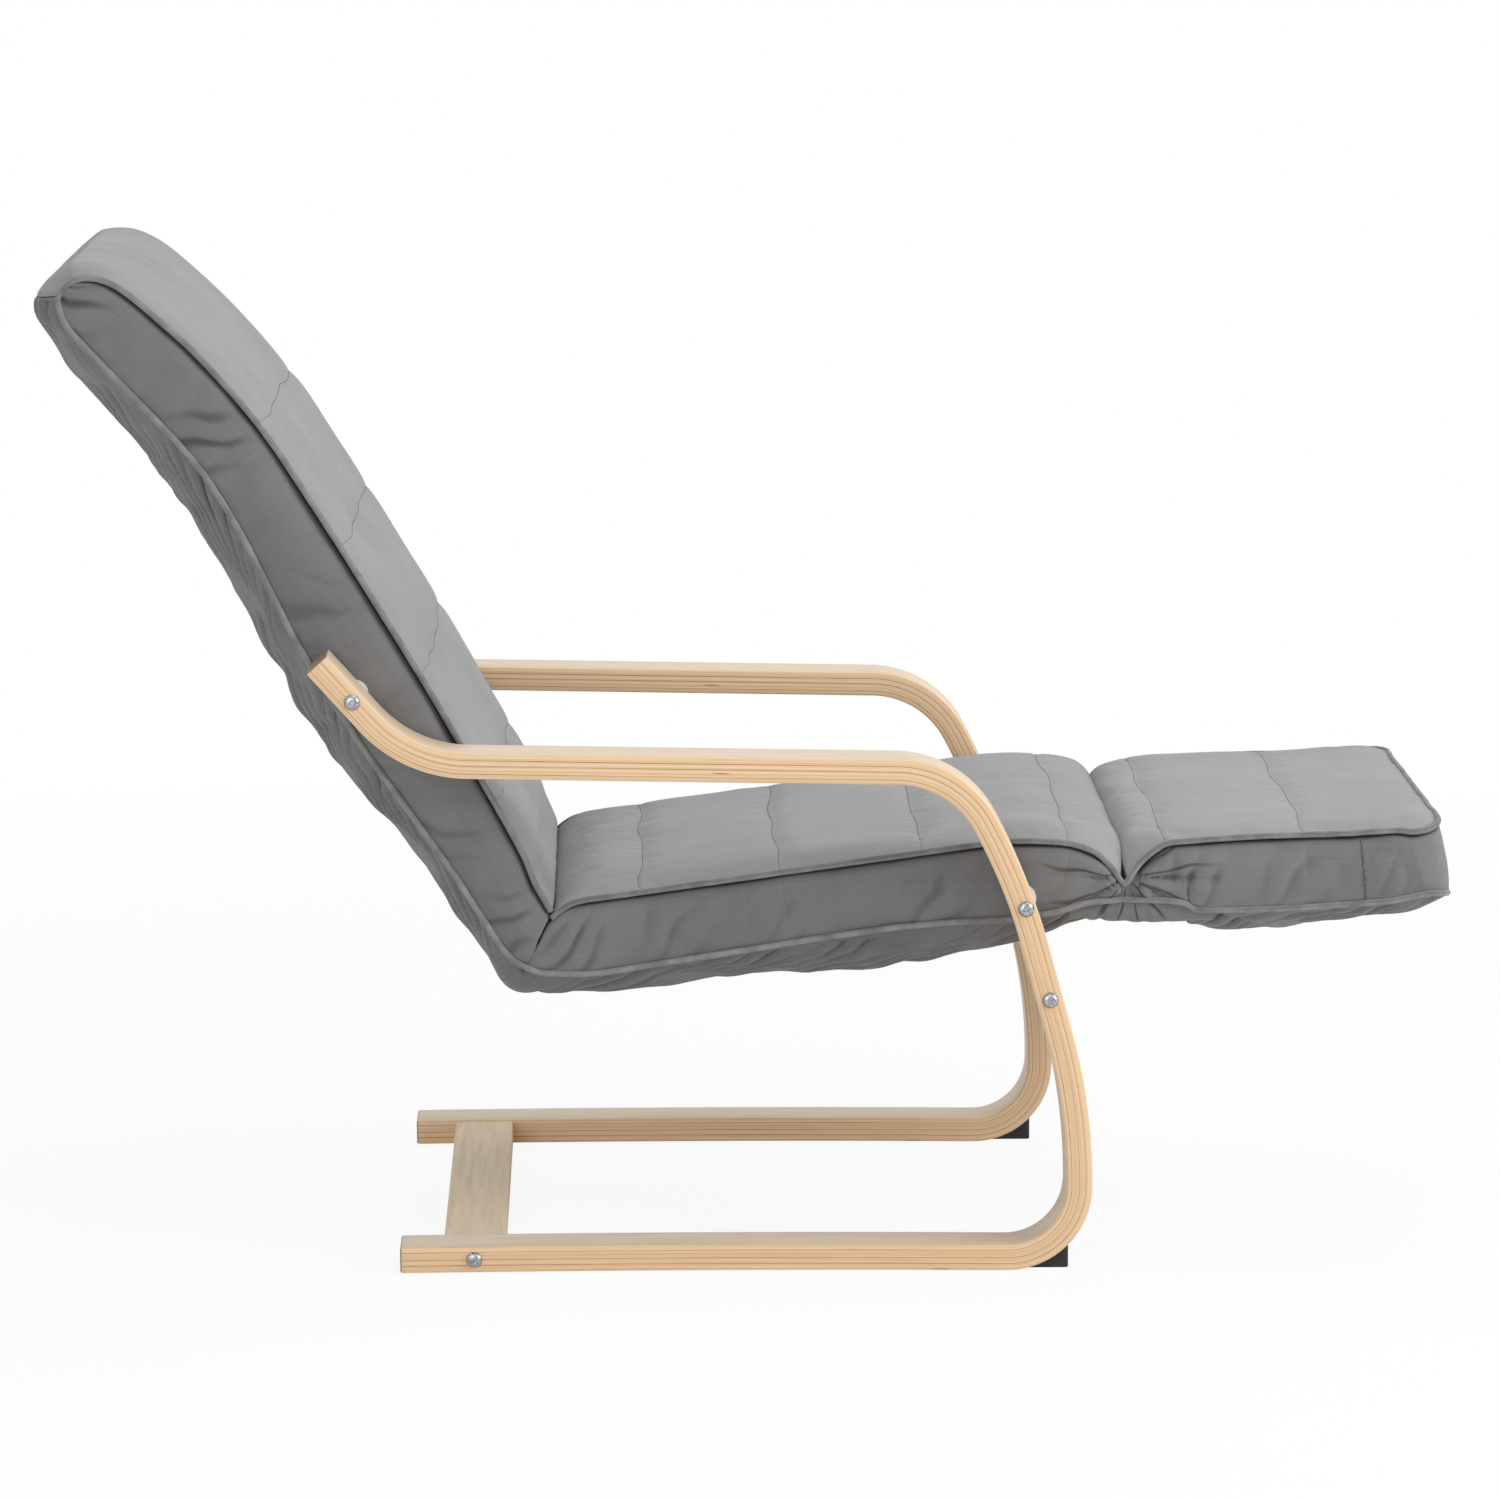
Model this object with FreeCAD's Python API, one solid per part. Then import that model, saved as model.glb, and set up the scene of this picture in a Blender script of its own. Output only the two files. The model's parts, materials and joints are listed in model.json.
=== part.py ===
import FreeCAD, Part
import math
import os

from FreeCAD import Vector

# Bentwood lounge chair with an upholstered steel seat unit and a ratchet footrest.
# Millimetres. X points forwards, to the sitter's feet, Y to the sitter's left, and Z up.
# The origin is on the floor, under the middle of the chair's length and width.
# The side view is drawn from the rear end of the base rails and moved by origin_x at the end.

origin_x = 349.8

# Across the chair: the cushions' width sets the places of the tubes and of the side frames
cushion_width = 530.0
spacer_thickness = 10.0
cover_wall = 2.5
cover_side_gap = 0.6
tube_radius = 11.0
strap_thickness = 1.5
strap_clearance = 0.4
frame_inner_y = cushion_width / 2 + spacer_thickness
strap_reach = strap_clearance + strap_thickness + cover_side_gap
tube_y = cushion_width / 2 - cover_wall - strap_reach - tube_radius

# Bentwood side frames: a 26 mm laminate, bent in one piece from the base to the arm
frame_thickness = 26.0
frame_width = 60.0
frame_edge = 2.5
base_lift = 0.3
base_length = 607.0
base_bow_angle = 1.26
toe_radius = 72.0
shin_radius = 584.0
shin_bend_angle = 15.5
shin_length = 89.5
shin_angle = 90.0
knee_radius = 600.0
knee_bend_angle = 12.9
arm_bend_radius = 102.0
arm_angle = 179.0
tail_radius = 134.0
tail_bend_angle = 47.0
tail_length = 77.0

# Where the bolts of the steel seat unit go through a side frame
seat_bolt_up_leg = 289.1
seat_bolt_ahead = 2.35
back_bolt_inset = 51.6
back_bolt_above = 1.4

# Cross members of the wooden base
bar_width = 62.0
bar_depth = 23.0
bar_edge = 2.0
base_bar_x = 74.0
front_bar_thickness = 20.0
front_bar_height = 60.0
front_bar_up_leg = 193.6
dowel_radius = 4.0
dowel_length = 30.0
dowel_offset = 20.0
barrel_radius = 5.0
barrel_depth = 40.0
barrel_cover = 4.0
bolt_hole_spare = 8.0

# Machine bolts through the side frames
bolt_radius = 3.0
bolt_clearance = 0.25
bolt_head_radius = 8.0
bolt_head_height = 4.5
bolt_socket = 4.0
bolt_socket_depth = 2.5
seat_bolt_reach = 24.0
spacer_radius = 14.0
insert_radius = 4.5
insert_length = 12.0
insert_flange = 1.0
insert_rim = 2.0

# Toe pads under the front bends, measured forwards from the middle of the bend
toe_pad_begin = 20.2
toe_pad_length = 42.0
toe_pad_width = 30.0
toe_pad_corner = 4.0
foot_screw_ahead = 38.2
foot_screw_radius = 2.0
foot_screw_length = 22.0
foot_screw_head = 4.0
foot_screw_head_height = 1.5
foot_screw_sink = 1.0

# Steel seat unit: centre lines of its tubes, from the corner under the back
tube_wall = 1.5
recline_angle = 113.7
seat_bolt_along = 501.0
hinge_ahead = 123.8
seat_straight_share = 0.752
seat_knee_radius = 600.0
seat_knee_angle = 8.0
seat_front_bar_ahead = 19.0
back_length = 799.8
back_bolt_along = 326.0
back_straight_share = 0.7
back_bend_radius = 500.0
back_bend_angle = 10.4
back_hoop_bend = 70.0
weld_gap = 0.1

# Footrest frame, from the hinge pivot outwards
footrest_raise_angle = 3.6
footrest_length = 286.0
footrest_hoop_bend = 45.0
footrest_tube_start = 34.0
footrest_bar_share = 0.525
footrest_drop_angle = 85.0

# Elastic webbing bands and cross tubes, which keep clear of the bolts. A place on the seat is a
# share of the way from the corner to the bolt. One on the back counts from the bolt: down to the
# corner where it is negative, and up to the top where it is positive.
strap_width = 50.0
seat_strap_places = (0.15, 0.33, 0.51, 0.69, 0.87)
back_strap_places = (-0.709, -0.463, 0.125, 0.272, 0.42, 0.768)
lumbar_tube_places = (-0.233, 0.589)
footrest_strap_places = (0.33, 0.715)

# Ratchet hinges of the footrest
disc_radius = 20.0
tooth_depth = 3.5
tooth_count = 6
tooth_pitch_angle = footrest_drop_angle / (tooth_count - 1)
tooth_face_angle = -108.0
disc_half = 3.0
disc_tail_half_height = 8.0
cheek_gap = 0.3
cheek_thickness = 2.0
cheek_radius = 19.5
cheek_rim = 1.0
cheek_web_inset = 1.5
cheek_tail_half_height = 7.0
socket_depth = 32.0
rail_end_gap = 54.0
hinge_rivet_radius = 4.0
hinge_rivet_head = 7.0
rivet_head_height = 1.5
rivet_clearance = 0.05
pawl_pin_back = 44.0
pawl_pin_below = 16.0
pawl_pin_radius = 3.0
pawl_pin_head = 5.0
pawl_boss_radius = 7.0
pawl_web_inset = 1.0
pawl_arm_depth = 3.5
pawl_lift_angle = 6.0
pawl_heel_angle = 2.0
pawl_nose_gap = 0.8
washer_thickness = 0.7
pawl_side_gap = 0.3
tube_rivet_radius = 2.0
tube_rivet_head = 4.0
tube_rivet_inset = 14.0

# Upholstery: each table gives heights or depths across the tubes' centre line, in mm, by their
# place along it as a share of the tube's length
cushion_rest = 0.8
back_pad_heights = ((-0.075, 46.0), (0.063, 51.0), (0.131, 57.0), (0.231, 61.0), (0.375, 66.0),
                    (0.575, 66.0), (0.788, 63.0), (0.863, 62.0), (0.914, 58.0), (0.963, 53.0),
                    (0.994, 47.0), (1.015, 36.0), (1.028, 18.0))
seat_pad_heights = ((-0.096, 48.0), (0.048, 50.0), (0.096, 57.0), (0.624, 59.0), (0.776, 58.0),
                    (0.835, 54.0), (0.896, 45.0), (0.935, 32.0), (0.963, 18.0))
footrest_pad_heights = ((-0.031, 18.0), (0.0, 33.0), (0.056, 45.0), (0.133, 51.0), (0.385, 50.0),
                        (0.734, 49.0), (1.007, 51.0), (1.052, 46.0), (1.07, 38.0))
crown_ridge = 16.0
crown_seam = 5.0
side_draw = 5.0
side_tuck = 3.0
least_pad_side = 4.0
corner_draw = 9.0
corner_draw_reach = 24.0
back_seams = (0.2, 0.384, 0.571, 0.75)
seat_seams = (0.195, 0.418, 0.648, 0.858)
footrest_seams = (0.07, 0.577)
channel_places = (0.0, 0.12, 0.34, 0.66, 0.88)
channel_roundness = 0.6
least_station_gap = 9.0
nose_stations = 4
mitre_gap = 0.3
hinge_pocket_radius = 25.0
hinge_pocket_half = 8.0
cover_corner = 18.0
cover_edge_gap = 0.4
cover_open_lift = 5.0
back_cover_depths = ((-0.075, 26.0), (0.075, 27.0), (0.163, 33.0), (0.256, 46.0), (0.431, 55.0),
                     (0.525, 55.0), (0.625, 47.0), (0.775, 46.0), (0.9, 43.0), (0.988, 40.0),
                     (1.017, 37.0), (1.037, 22.0))
seat_cover_depths = ((-0.096, 30.0), (0.112, 37.0), (0.272, 44.0), (0.432, 51.0), (0.6, 56.0),
                     (0.768, 47.0), (0.864, 39.0), (0.916, 30.0))
footrest_cover_depths = ((0.119, 41.0), (0.35, 41.0), (0.664, 43.0), (0.909, 41.0), (1.045, 31.0),
                         (1.073, 21.0))
hinge_fabric_depth = 34.0

# Helpers: how far a cutting shape passes the surface it cuts, a size larger than the chair, the
# least length that counts, and the share of a quarter circle's radius at its middle
overrun = 1.0
far_away = 1500.0
tolerance = 1e-6
half_way = math.sqrt(0.5)
full_turn = 360.0
hexagon = 6


class Trace:
    """A path of tangent lines and arcs in the side view, measured along from its start."""

    def __init__(self, x, z, heading):
        self.start = (x, z)
        self.heading = math.radians(heading)
        self.steps = []
        self.length = 0.0

    def line(self, length):
        return self._add(length, 0.0)

    def arc(self, radius, turn):
        """An arc that turns left by turn degrees, or right where turn is negative."""
        length = radius * abs(math.radians(turn))
        return self._add(length, math.copysign(1.0 / radius, turn))

    def _add(self, length, bend):
        x, z, heading = self._walk(self.length)
        self.steps.append((self.length, length, bend, x, z, heading))
        self.length += length
        return self

    def _walk(self, along):
        if not self.steps:
            return self.start[0], self.start[1], self.heading
        step = self.steps[0]
        for candidate in self.steps:
            if candidate[0] <= along:
                step = candidate
        begin, _, bend, x, z, heading = step
        run = along - begin
        if bend == 0.0:
            return x + run * math.cos(heading), z + run * math.sin(heading), heading
        turned = heading + run * bend
        x += (math.sin(turned) - math.sin(heading)) / bend
        z += (math.cos(heading) - math.cos(turned)) / bend
        return x, z, turned

    def heading_at(self, along):
        return self._walk(along)[2]

    def at(self, along, left=0.0, y=0.0):
        """The point at a distance along the path and a distance to its left."""
        x, z, heading = self._walk(along)
        return Vector(x - left * math.sin(heading), y, z + left * math.cos(heading))

    def edges(self, begin, end, left=0.0, y=0.0):
        """The stretch from begin to end, offset to the left, as one edge per line or arc."""
        low, high = min(begin, end), max(begin, end)
        found = []
        for start, length, bend, _, _, _ in self.steps:
            a, b = max(low, start), min(high, start + length)
            if b - a < tolerance:
                continue
            p, q = self.at(a, left, y), self.at(b, left, y)
            if bend == 0.0:
                found.append(Part.LineSegment(p, q).toShape())
            else:
                found.append(Part.Arc(p, self.at((a + b) / 2, left, y), q).toShape())
        return found if begin < end else found[::-1]


def frame_path(arm_length):
    """Centre line of a side frame, from the rear end of its base rail to the tip of its arm."""
    trace = Trace(0.0, base_lift + frame_thickness / 2, base_bow_angle / 2)
    trace.arc(base_length / math.radians(base_bow_angle), -base_bow_angle)
    trace.arc(toe_radius, shin_angle + base_bow_angle / 2)
    trace.arc(shin_radius, shin_bend_angle).line(shin_length).arc(knee_radius, knee_bend_angle)
    trace.arc(arm_bend_radius, arm_angle - shin_angle - shin_bend_angle - knee_bend_angle)
    trace.line(arm_length).arc(tail_radius, -tail_bend_angle).line(tail_length)
    return trace


def toe_end(frame):
    """Distance along a side frame to the upper end of its toe bend."""
    begin, length = frame.steps[1][:2]
    return begin + length


def leg_bolt(frame):
    return frame.at(toe_end(frame) + seat_bolt_up_leg, -seat_bolt_ahead)


def tail_bolt(frame):
    return frame.at(frame.length - back_bolt_inset, -back_bolt_above)


def seat_path(corner, heading):
    """Centre line of a seat rail, from the corner under the back to the footrest's pivot."""
    length = seat_bolt_along + hinge_ahead
    run = seat_straight_share * length
    bend = seat_knee_radius * math.radians(seat_knee_angle)
    trace = Trace(corner.x, corner.z, heading).line(run).arc(seat_knee_radius, -seat_knee_angle)
    return trace.line(length - run - bend)


def back_path(corner, heading):
    """Centre line of a back upright, from the corner to its top."""
    run = back_straight_share * back_length
    bend = back_bend_radius * math.radians(back_bend_angle)
    trace = Trace(corner.x, corner.z, heading).line(run).arc(back_bend_radius, back_bend_angle)
    return trace.line(back_length - run - bend)


def unit_span():
    """From the seat bolt to the back bolt, with the seat rails level."""
    corner = Vector(0, 0, 0)
    return (back_path(corner, recline_angle).at(back_bolt_along)
            - seat_path(corner, 0.0).at(seat_bolt_along))


def arm_run():
    """Length of an arm's straight part that puts its bolt holes as far apart as the steel unit's."""
    bent = frame_path(0.0)
    gap = tail_bolt(bent) - leg_bolt(bent)
    heading = math.radians(arm_angle)
    reach = gap.x * math.cos(heading) + gap.z * math.sin(heading)
    return math.sqrt(reach ** 2 - gap.Length ** 2 + unit_span().Length ** 2) - reach


def unit_pitch():
    """Tilt of the seat rails, in degrees, that brings the steel unit's bolts to the side frames'."""
    gap, span = tail_bolt(FRAME) - leg_bolt(FRAME), unit_span()
    return math.degrees(math.atan2(gap.z, gap.x) - math.atan2(span.z, span.x))


def unit_corner():
    """Where the seat rails' lines start, under the back."""
    reach = seat_path(Vector(0, 0, 0), PITCH).at(seat_bolt_along)
    return leg_bolt(FRAME) - reach


def footrest_path():
    """Centre line of the footrest, from the pivot to its front end."""
    heading = math.degrees(SEAT.heading_at(SEAT.length)) + footrest_raise_angle
    return Trace(PIVOT.x, PIVOT.z, heading).line(footrest_length)


FRAME = frame_path(arm_run())
PITCH = unit_pitch()
SEAT = seat_path(unit_corner(), PITCH)
BACK = back_path(unit_corner(), PITCH + recline_angle)
PIVOT = SEAT.at(SEAT.length)
FOOTREST = footrest_path()
# The sitter's side is left of the seat's and the footrest's line, and right of the back's
SITTER = {id(SEAT): 1.0, id(BACK): -1.0, id(FOOTREST): 1.0}
PAD_REST = tube_radius + strap_clearance + strap_thickness + cushion_rest
SIDES = (("right", -1.0), ("left", 1.0))


def across(trace, along, height, y=0.0):
    """The point at a distance along a tube's line and a height to the sitter's side."""
    return trace.at(along, SITTER[id(trace)] * height, y)


def cylinder_y(centre, radius, y_low, y_high):
    return Part.makeCylinder(radius, y_high - y_low, Vector(centre.x, y_low, centre.z),
                             Vector(0, 1, 0))


def cylinder_between(start, end, radius):
    return Part.makeCylinder(radius, (end - start).Length, start, end - start)


def slab(points, y_low, y_high):
    """A flat plate of a side view outline between two values of Y."""
    corners = [Vector(p.x, y_low, p.z) for p in points]
    face = Part.Face(Part.makePolygon(corners + corners[:1]))
    return face.extrude(Vector(0, y_high - y_low, 0))


def rod(edges, radius):
    """A round rod along lines and arcs: a cylinder on each line and part of a ring on each arc."""
    runs = []
    for edge in edges:
        start, curve = edge.valueAt(edge.FirstParameter), edge.Curve
        tangent = edge.tangentAt(edge.FirstParameter)
        disc = Part.Face(Part.Wire(Part.Circle(start, tangent, radius).toShape()))
        if isinstance(curve, Part.Circle):
            turn = math.degrees(edge.Length / curve.Radius)
            runs.append(disc.revolve(curve.Center, curve.Axis, turn))
        else:
            runs.append(disc.extrude(tangent * edge.Length))
    return runs[0].multiFuse(runs[1:]) if len(runs) > 1 else runs[0]


def hollow_rod(edges):
    return rod(edges, tube_radius).cut(rod(edges, tube_radius - tube_wall))


def both_sides(y_low, y_high):
    """A span of Y on the sitter's left and its mirror image on the right."""
    return ((y_low, y_high), (-y_high, -y_low))


def frame_bolt_centres():
    """Side view centres of the bolts through a side frame, by what they hold."""
    return {
        "base": FRAME.at(base_bar_x),
        "front": FRAME.at(front_bar_along()),
        "seat": leg_bolt(FRAME),
        "back": tail_bolt(FRAME),
    }


def front_bar_along():
    """Distance along a side frame to the middle of the front cross member."""
    return toe_end(FRAME) + front_bar_up_leg


def bar_axes(along):
    """Directions along and across a side frame at one of its cross members."""
    heading = FRAME.heading_at(along)
    return (Vector(math.cos(heading), 0, math.sin(heading)),
            Vector(-math.sin(heading), 0, math.cos(heading)))


def dowel_centres():
    """Side view centres of the dowels, two beside the bolt of each cross member."""
    found = []
    for along in (base_bar_x, front_bar_along()):
        lengthwise, _ = bar_axes(along)
        centre = FRAME.at(along)
        found += [centre + lengthwise * dowel_offset, centre - lengthwise * dowel_offset]
    return found


def side_frame(side):
    """One bentwood side: base rail, bent leg, arm and raised tail from one laminate."""
    half = frame_thickness / 2
    inner = FRAME.edges(0, FRAME.length, half)
    outer = FRAME.edges(FRAME.length, 0, -half)
    tail = Part.LineSegment(FRAME.at(FRAME.length, half), FRAME.at(FRAME.length, -half)).toShape()
    heel = Part.LineSegment(FRAME.at(0, -half), FRAME.at(0, half)).toShape()
    face = Part.Face(Part.Wire(inner + [tail] + outer + [heel]))
    solid = face.extrude(Vector(0, frame_width, 0))
    solid = solid.makeChamfer(frame_edge, solid.Edges)
    solid.translate(Vector(0, frame_inner_y, 0))
    outer_y = frame_inner_y + frame_width
    for centre in frame_bolt_centres().values():
        hole = cylinder_y(centre, bolt_radius + bolt_clearance, frame_inner_y - overrun,
                          outer_y + overrun)
        solid = solid.cut(hole)
    for centre in dowel_centres():
        solid = solid.cut(cylinder_y(centre, dowel_radius, frame_inner_y - overrun,
                                     frame_inner_y + dowel_length / 2))
    if side < 0:
        solid = solid.mirror(Vector(0, 0, 0), Vector(0, 1, 0))
    return solid


def drilled_bar(solid, along, barrel_axis, barrel_half):
    """Bolt, dowel and barrel nut holes in both ends of a cross member."""
    centre = FRAME.at(along)
    lengthwise, _ = bar_axes(along)
    for sign in (-1.0, 1.0):
        end = Vector(centre.x, sign * frame_inner_y, centre.z)
        inward = Vector(0, -sign, 0)
        outside = end - inward * overrun
        solid = solid.cut(cylinder_between(outside, end + inward * (barrel_depth + bolt_hole_spare),
                                           bolt_radius + bolt_clearance))
        nut = end + inward * barrel_depth
        solid = solid.cut(cylinder_between(nut - barrel_axis * (barrel_half + overrun),
                                           nut + barrel_axis * barrel_half, barrel_radius))
        for offset in (-dowel_offset, dowel_offset):
            start = end + lengthwise * offset
            solid = solid.cut(cylinder_between(start - inward * overrun,
                                               start + inward * dowel_length / 2, dowel_radius))
    return solid


def base_crossbar():
    """Flat plank between the rear ends of the base rails."""
    lengthwise, upward = bar_axes(base_bar_x)
    centre = FRAME.at(base_bar_x)
    corner = centre - lengthwise * (bar_width / 2) - upward * (bar_depth / 2)
    points = [corner, corner + lengthwise * bar_width,
              corner + lengthwise * bar_width + upward * bar_depth, corner + upward * bar_depth]
    solid = slab(points, -frame_inner_y, frame_inner_y)
    long_edges = [e for e in solid.Edges if e.Length > frame_inner_y]
    solid = solid.makeFillet(bar_edge, long_edges)
    return drilled_bar(solid, base_bar_x, upward, bar_depth / 2 - barrel_cover)


def front_crossbar():
    """Upright plank between the front legs, in line with their lean."""
    along = front_bar_along()
    lengthwise, inwards = bar_axes(along)
    centre = FRAME.at(along)
    corner = centre - lengthwise * (front_bar_height / 2) - inwards * (front_bar_thickness / 2)
    points = [corner, corner + lengthwise * front_bar_height,
              corner + lengthwise * front_bar_height + inwards * front_bar_thickness,
              corner + inwards * front_bar_thickness]
    solid = slab(points, -frame_inner_y, frame_inner_y)
    long_edges = [e for e in solid.Edges if e.Length > frame_inner_y]
    solid = solid.makeFillet(bar_edge, long_edges)
    return drilled_bar(solid, along, inwards, front_bar_thickness / 2 - barrel_cover)


def crossbar_dowels():
    half = dowel_length / 2
    return [cylinder_y(centre, dowel_radius, low, high)
            for centre in dowel_centres()
            for low, high in both_sides(frame_inner_y - half, frame_inner_y + half)]


def crossbar_barrel_nuts():
    """Cross dowels that the base's bolts screw into."""
    nuts = []
    for along, half in ((base_bar_x, bar_depth / 2 - barrel_cover),
                        (front_bar_along(), front_bar_thickness / 2 - barrel_cover)):
        _, axis = bar_axes(along)
        for sign in (-1.0, 1.0):
            y = sign * (frame_inner_y - barrel_depth)
            centre = FRAME.at(along, 0.0, y)
            nut = cylinder_between(centre - axis * half, centre + axis * half, barrel_radius)
            nuts.append(nut.cut(cylinder_y(centre, bolt_radius, y - barrel_radius - overrun,
                                           y + barrel_radius + overrun)))
    return nuts


def bolt(centre, tip_y, sign):
    """A button head machine bolt from outside a side frame in to tip_y."""
    face_y = frame_inner_y + frame_width
    outward = Vector(0, sign, 0)
    head_base = Vector(centre.x, sign * face_y, centre.z)
    tip = Vector(centre.x, sign * tip_y, centre.z)
    dome_radius = (bolt_head_radius ** 2 + bolt_head_height ** 2) / (2 * bolt_head_height)
    dome = Part.makeSphere(dome_radius, head_base + outward * (bolt_head_height - dome_radius))
    head = dome.common(cylinder_between(head_base, head_base + outward * bolt_head_height,
                                        bolt_head_radius))
    shank = cylinder_between(tip, head_base + outward * (bolt_head_height / 2), bolt_radius)
    corner_radius = bolt_socket / 2 / math.cos(math.pi / hexagon)
    points = []
    for corner in range(hexagon + 1):
        angle = 2 * math.pi * corner / hexagon
        points.append(Vector(centre.x + corner_radius * math.cos(angle),
                             sign * (face_y + bolt_head_height - bolt_socket_depth),
                             centre.z + corner_radius * math.sin(angle)))
    socket = Part.Face(Part.makePolygon(points)).extrude(outward * (bolt_socket_depth + overrun))
    return head.fuse(shank).cut(socket).removeSplitter()


def crossbar_bolts():
    centres = frame_bolt_centres()
    tip = frame_inner_y - barrel_depth - barrel_radius - overrun
    return [bolt(centres[name], tip, sign) for name in ("base", "front") for sign in (-1.0, 1.0)]


def seat_bolts():
    """The bolts that hold the steel seat unit between the side frames."""
    centres = frame_bolt_centres()
    tip = frame_inner_y - seat_bolt_reach
    return [bolt(centres[name], tip, sign) for name in ("seat", "back") for sign in (-1.0, 1.0)]


def frame_spacers():
    """Washers that keep the side frames clear of the cushions."""
    centres = frame_bolt_centres()
    found = []
    for name in ("seat", "back"):
        for low, high in both_sides(cushion_width / 2, frame_inner_y):
            disc = cylinder_y(centres[name], spacer_radius, low, high)
            found.append(disc.cut(cylinder_y(centres[name], bolt_radius + bolt_clearance,
                                             low - overrun, high + overrun)))
    return found


def frame_inserts():
    """Flanged thread inserts in the tubes, which take the seat bolts."""
    centres = frame_bolt_centres()
    crest = tube_y + tube_radius
    found = []
    for name in ("seat", "back"):
        for sign in (-1.0, 1.0):
            outward = Vector(0, sign, 0)
            seat = Vector(centres[name].x, sign * crest, centres[name].z)
            barrel = cylinder_between(seat - outward * insert_length, seat, insert_radius)
            flange = cylinder_between(seat, seat + outward * insert_flange,
                                      insert_radius + insert_rim)
            hole = cylinder_between(seat - outward * (insert_length + overrun),
                                    seat + outward * (insert_flange + overrun), bolt_radius)
            found.append(barrel.fuse(flange).cut(hole).removeSplitter())
    return found


def toe_bend_centre():
    return FRAME.at(FRAME.steps[1][0], toe_radius)


def foot_screw_base(sign):
    """The point on the floor under a foot screw."""
    return Vector(toe_bend_centre().x + foot_screw_ahead, sign * (frame_inner_y + frame_width / 2), 0)


def toe_pad(sign):
    """Wedge pad under a front bend, flat on the floor and curved to the bend above."""
    width = toe_pad_width / 2
    centre, screw = toe_bend_centre(), foot_screw_base(sign)
    rear = centre.x + toe_pad_begin
    block = Part.makeBox(toe_pad_length, 2 * width, frame_thickness,
                         Vector(rear, screw.y - width, 0))
    uprights = [e for e in block.Edges
                if abs(e.Length - frame_thickness) < tolerance and e.CenterOfMass.x > rear + tolerance]
    block = block.makeFillet(toe_pad_corner, uprights)
    bend = cylinder_y(centre, toe_radius + frame_thickness / 2, screw.y - width - overrun,
                      screw.y + width + overrun)
    hole = Part.makeCylinder(foot_screw_radius, frame_thickness, screw)
    counterbore = Part.makeCylinder(foot_screw_head, foot_screw_sink + foot_screw_head_height, screw)
    return block.cut(bend).cut(hole).cut(counterbore)


def foot_screws():
    """Pan head screws up through the toe pads into the bends."""
    found = []
    for _, sign in SIDES:
        base = foot_screw_base(sign) + Vector(0, 0, foot_screw_sink)
        head = Part.makeCylinder(foot_screw_head, foot_screw_head_height, base)
        shank = Part.makeCylinder(foot_screw_radius, foot_screw_length, base)
        found.append(head.fuse(shank).removeSplitter())
    return found


def screw_bores(solid, sign):
    return solid.cut(Part.makeCylinder(foot_screw_radius, foot_screw_sink + foot_screw_length,
                                       foot_screw_base(sign)))


def hoop(trace, begin, end, bend):
    """Lines and arcs of a U-shaped tube: out along one side, across the end and back."""
    tip = trace.at(end - bend)
    heading = trace.heading_at(end - bend)
    forward = Vector(math.cos(heading), 0, math.sin(heading))
    edges = trace.edges(begin, end - bend, 0.0, -tube_y)
    knots = []
    for sign in (-1.0, 1.0):
        centre = Vector(tip.x, sign * (tube_y - bend), tip.z)
        outward = Vector(0, sign, 0)
        knots.append((centre + outward * bend, centre + (outward + forward) * (bend * half_way),
                      centre + forward * bend))
    edges.append(Part.Arc(*knots[0]).toShape())
    edges.append(Part.LineSegment(knots[0][2], knots[1][2]).toShape())
    edges.append(Part.Arc(knots[1][2], knots[1][1], knots[1][0]).toShape())
    return edges + trace.edges(end - bend, begin, 0.0, tube_y)


def cross_cylinder(point, radius, reach):
    return cylinder_y(point, radius, -reach, reach)


def cross_tube(point, reach):
    tube = cross_cylinder(point, tube_radius, reach)
    return tube.cut(cross_cylinder(point, tube_radius - tube_wall, reach + overrun))


def fitted_cross_tube(trace, along):
    """Tube across the frame that stops at the side tubes, cut to their round."""
    solid = cross_tube(trace.at(along), tube_y)
    heading = trace.heading_at(along)
    forward = Vector(math.cos(heading), 0, math.sin(heading)) * (3 * tube_radius)
    for y in (-tube_y, tube_y):
        middle = trace.at(along, 0.0, y)
        solid = solid.cut(cylinder_between(middle - forward, middle + forward,
                                           tube_radius + weld_gap))
    return solid


def bolt_bores(solid, name):
    """Holes for the thread inserts in the outer walls of a tube."""
    centre = frame_bolt_centres()[name]
    for low, high in both_sides(tube_y, tube_y + 2 * tube_radius):
        solid = solid.cut(cylinder_y(centre, insert_radius, low, high))
    for low, high in both_sides(tube_y + tube_radius, tube_y + 2 * tube_radius):
        solid = solid.cut(cylinder_y(centre, insert_radius + insert_rim, low, high))
    return solid


def back_frame():
    """Bent tube hoop of the back, saddle cut onto the corner tube at its foot."""
    solid = hollow_rod(hoop(BACK, 0.0, BACK.length, back_hoop_bend))
    corner = BACK.at(0.0)
    solid = solid.cut(cross_cylinder(corner, tube_radius + weld_gap, 2 * tube_y))
    for y in (-tube_y, tube_y):
        rail = cylinder_between(SEAT.at(0.0, 0.0, y), SEAT.at(4 * tube_radius, 0.0, y),
                                tube_radius + weld_gap)
        solid = solid.cut(rail)
    return bolt_bores(solid, "back")


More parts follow.
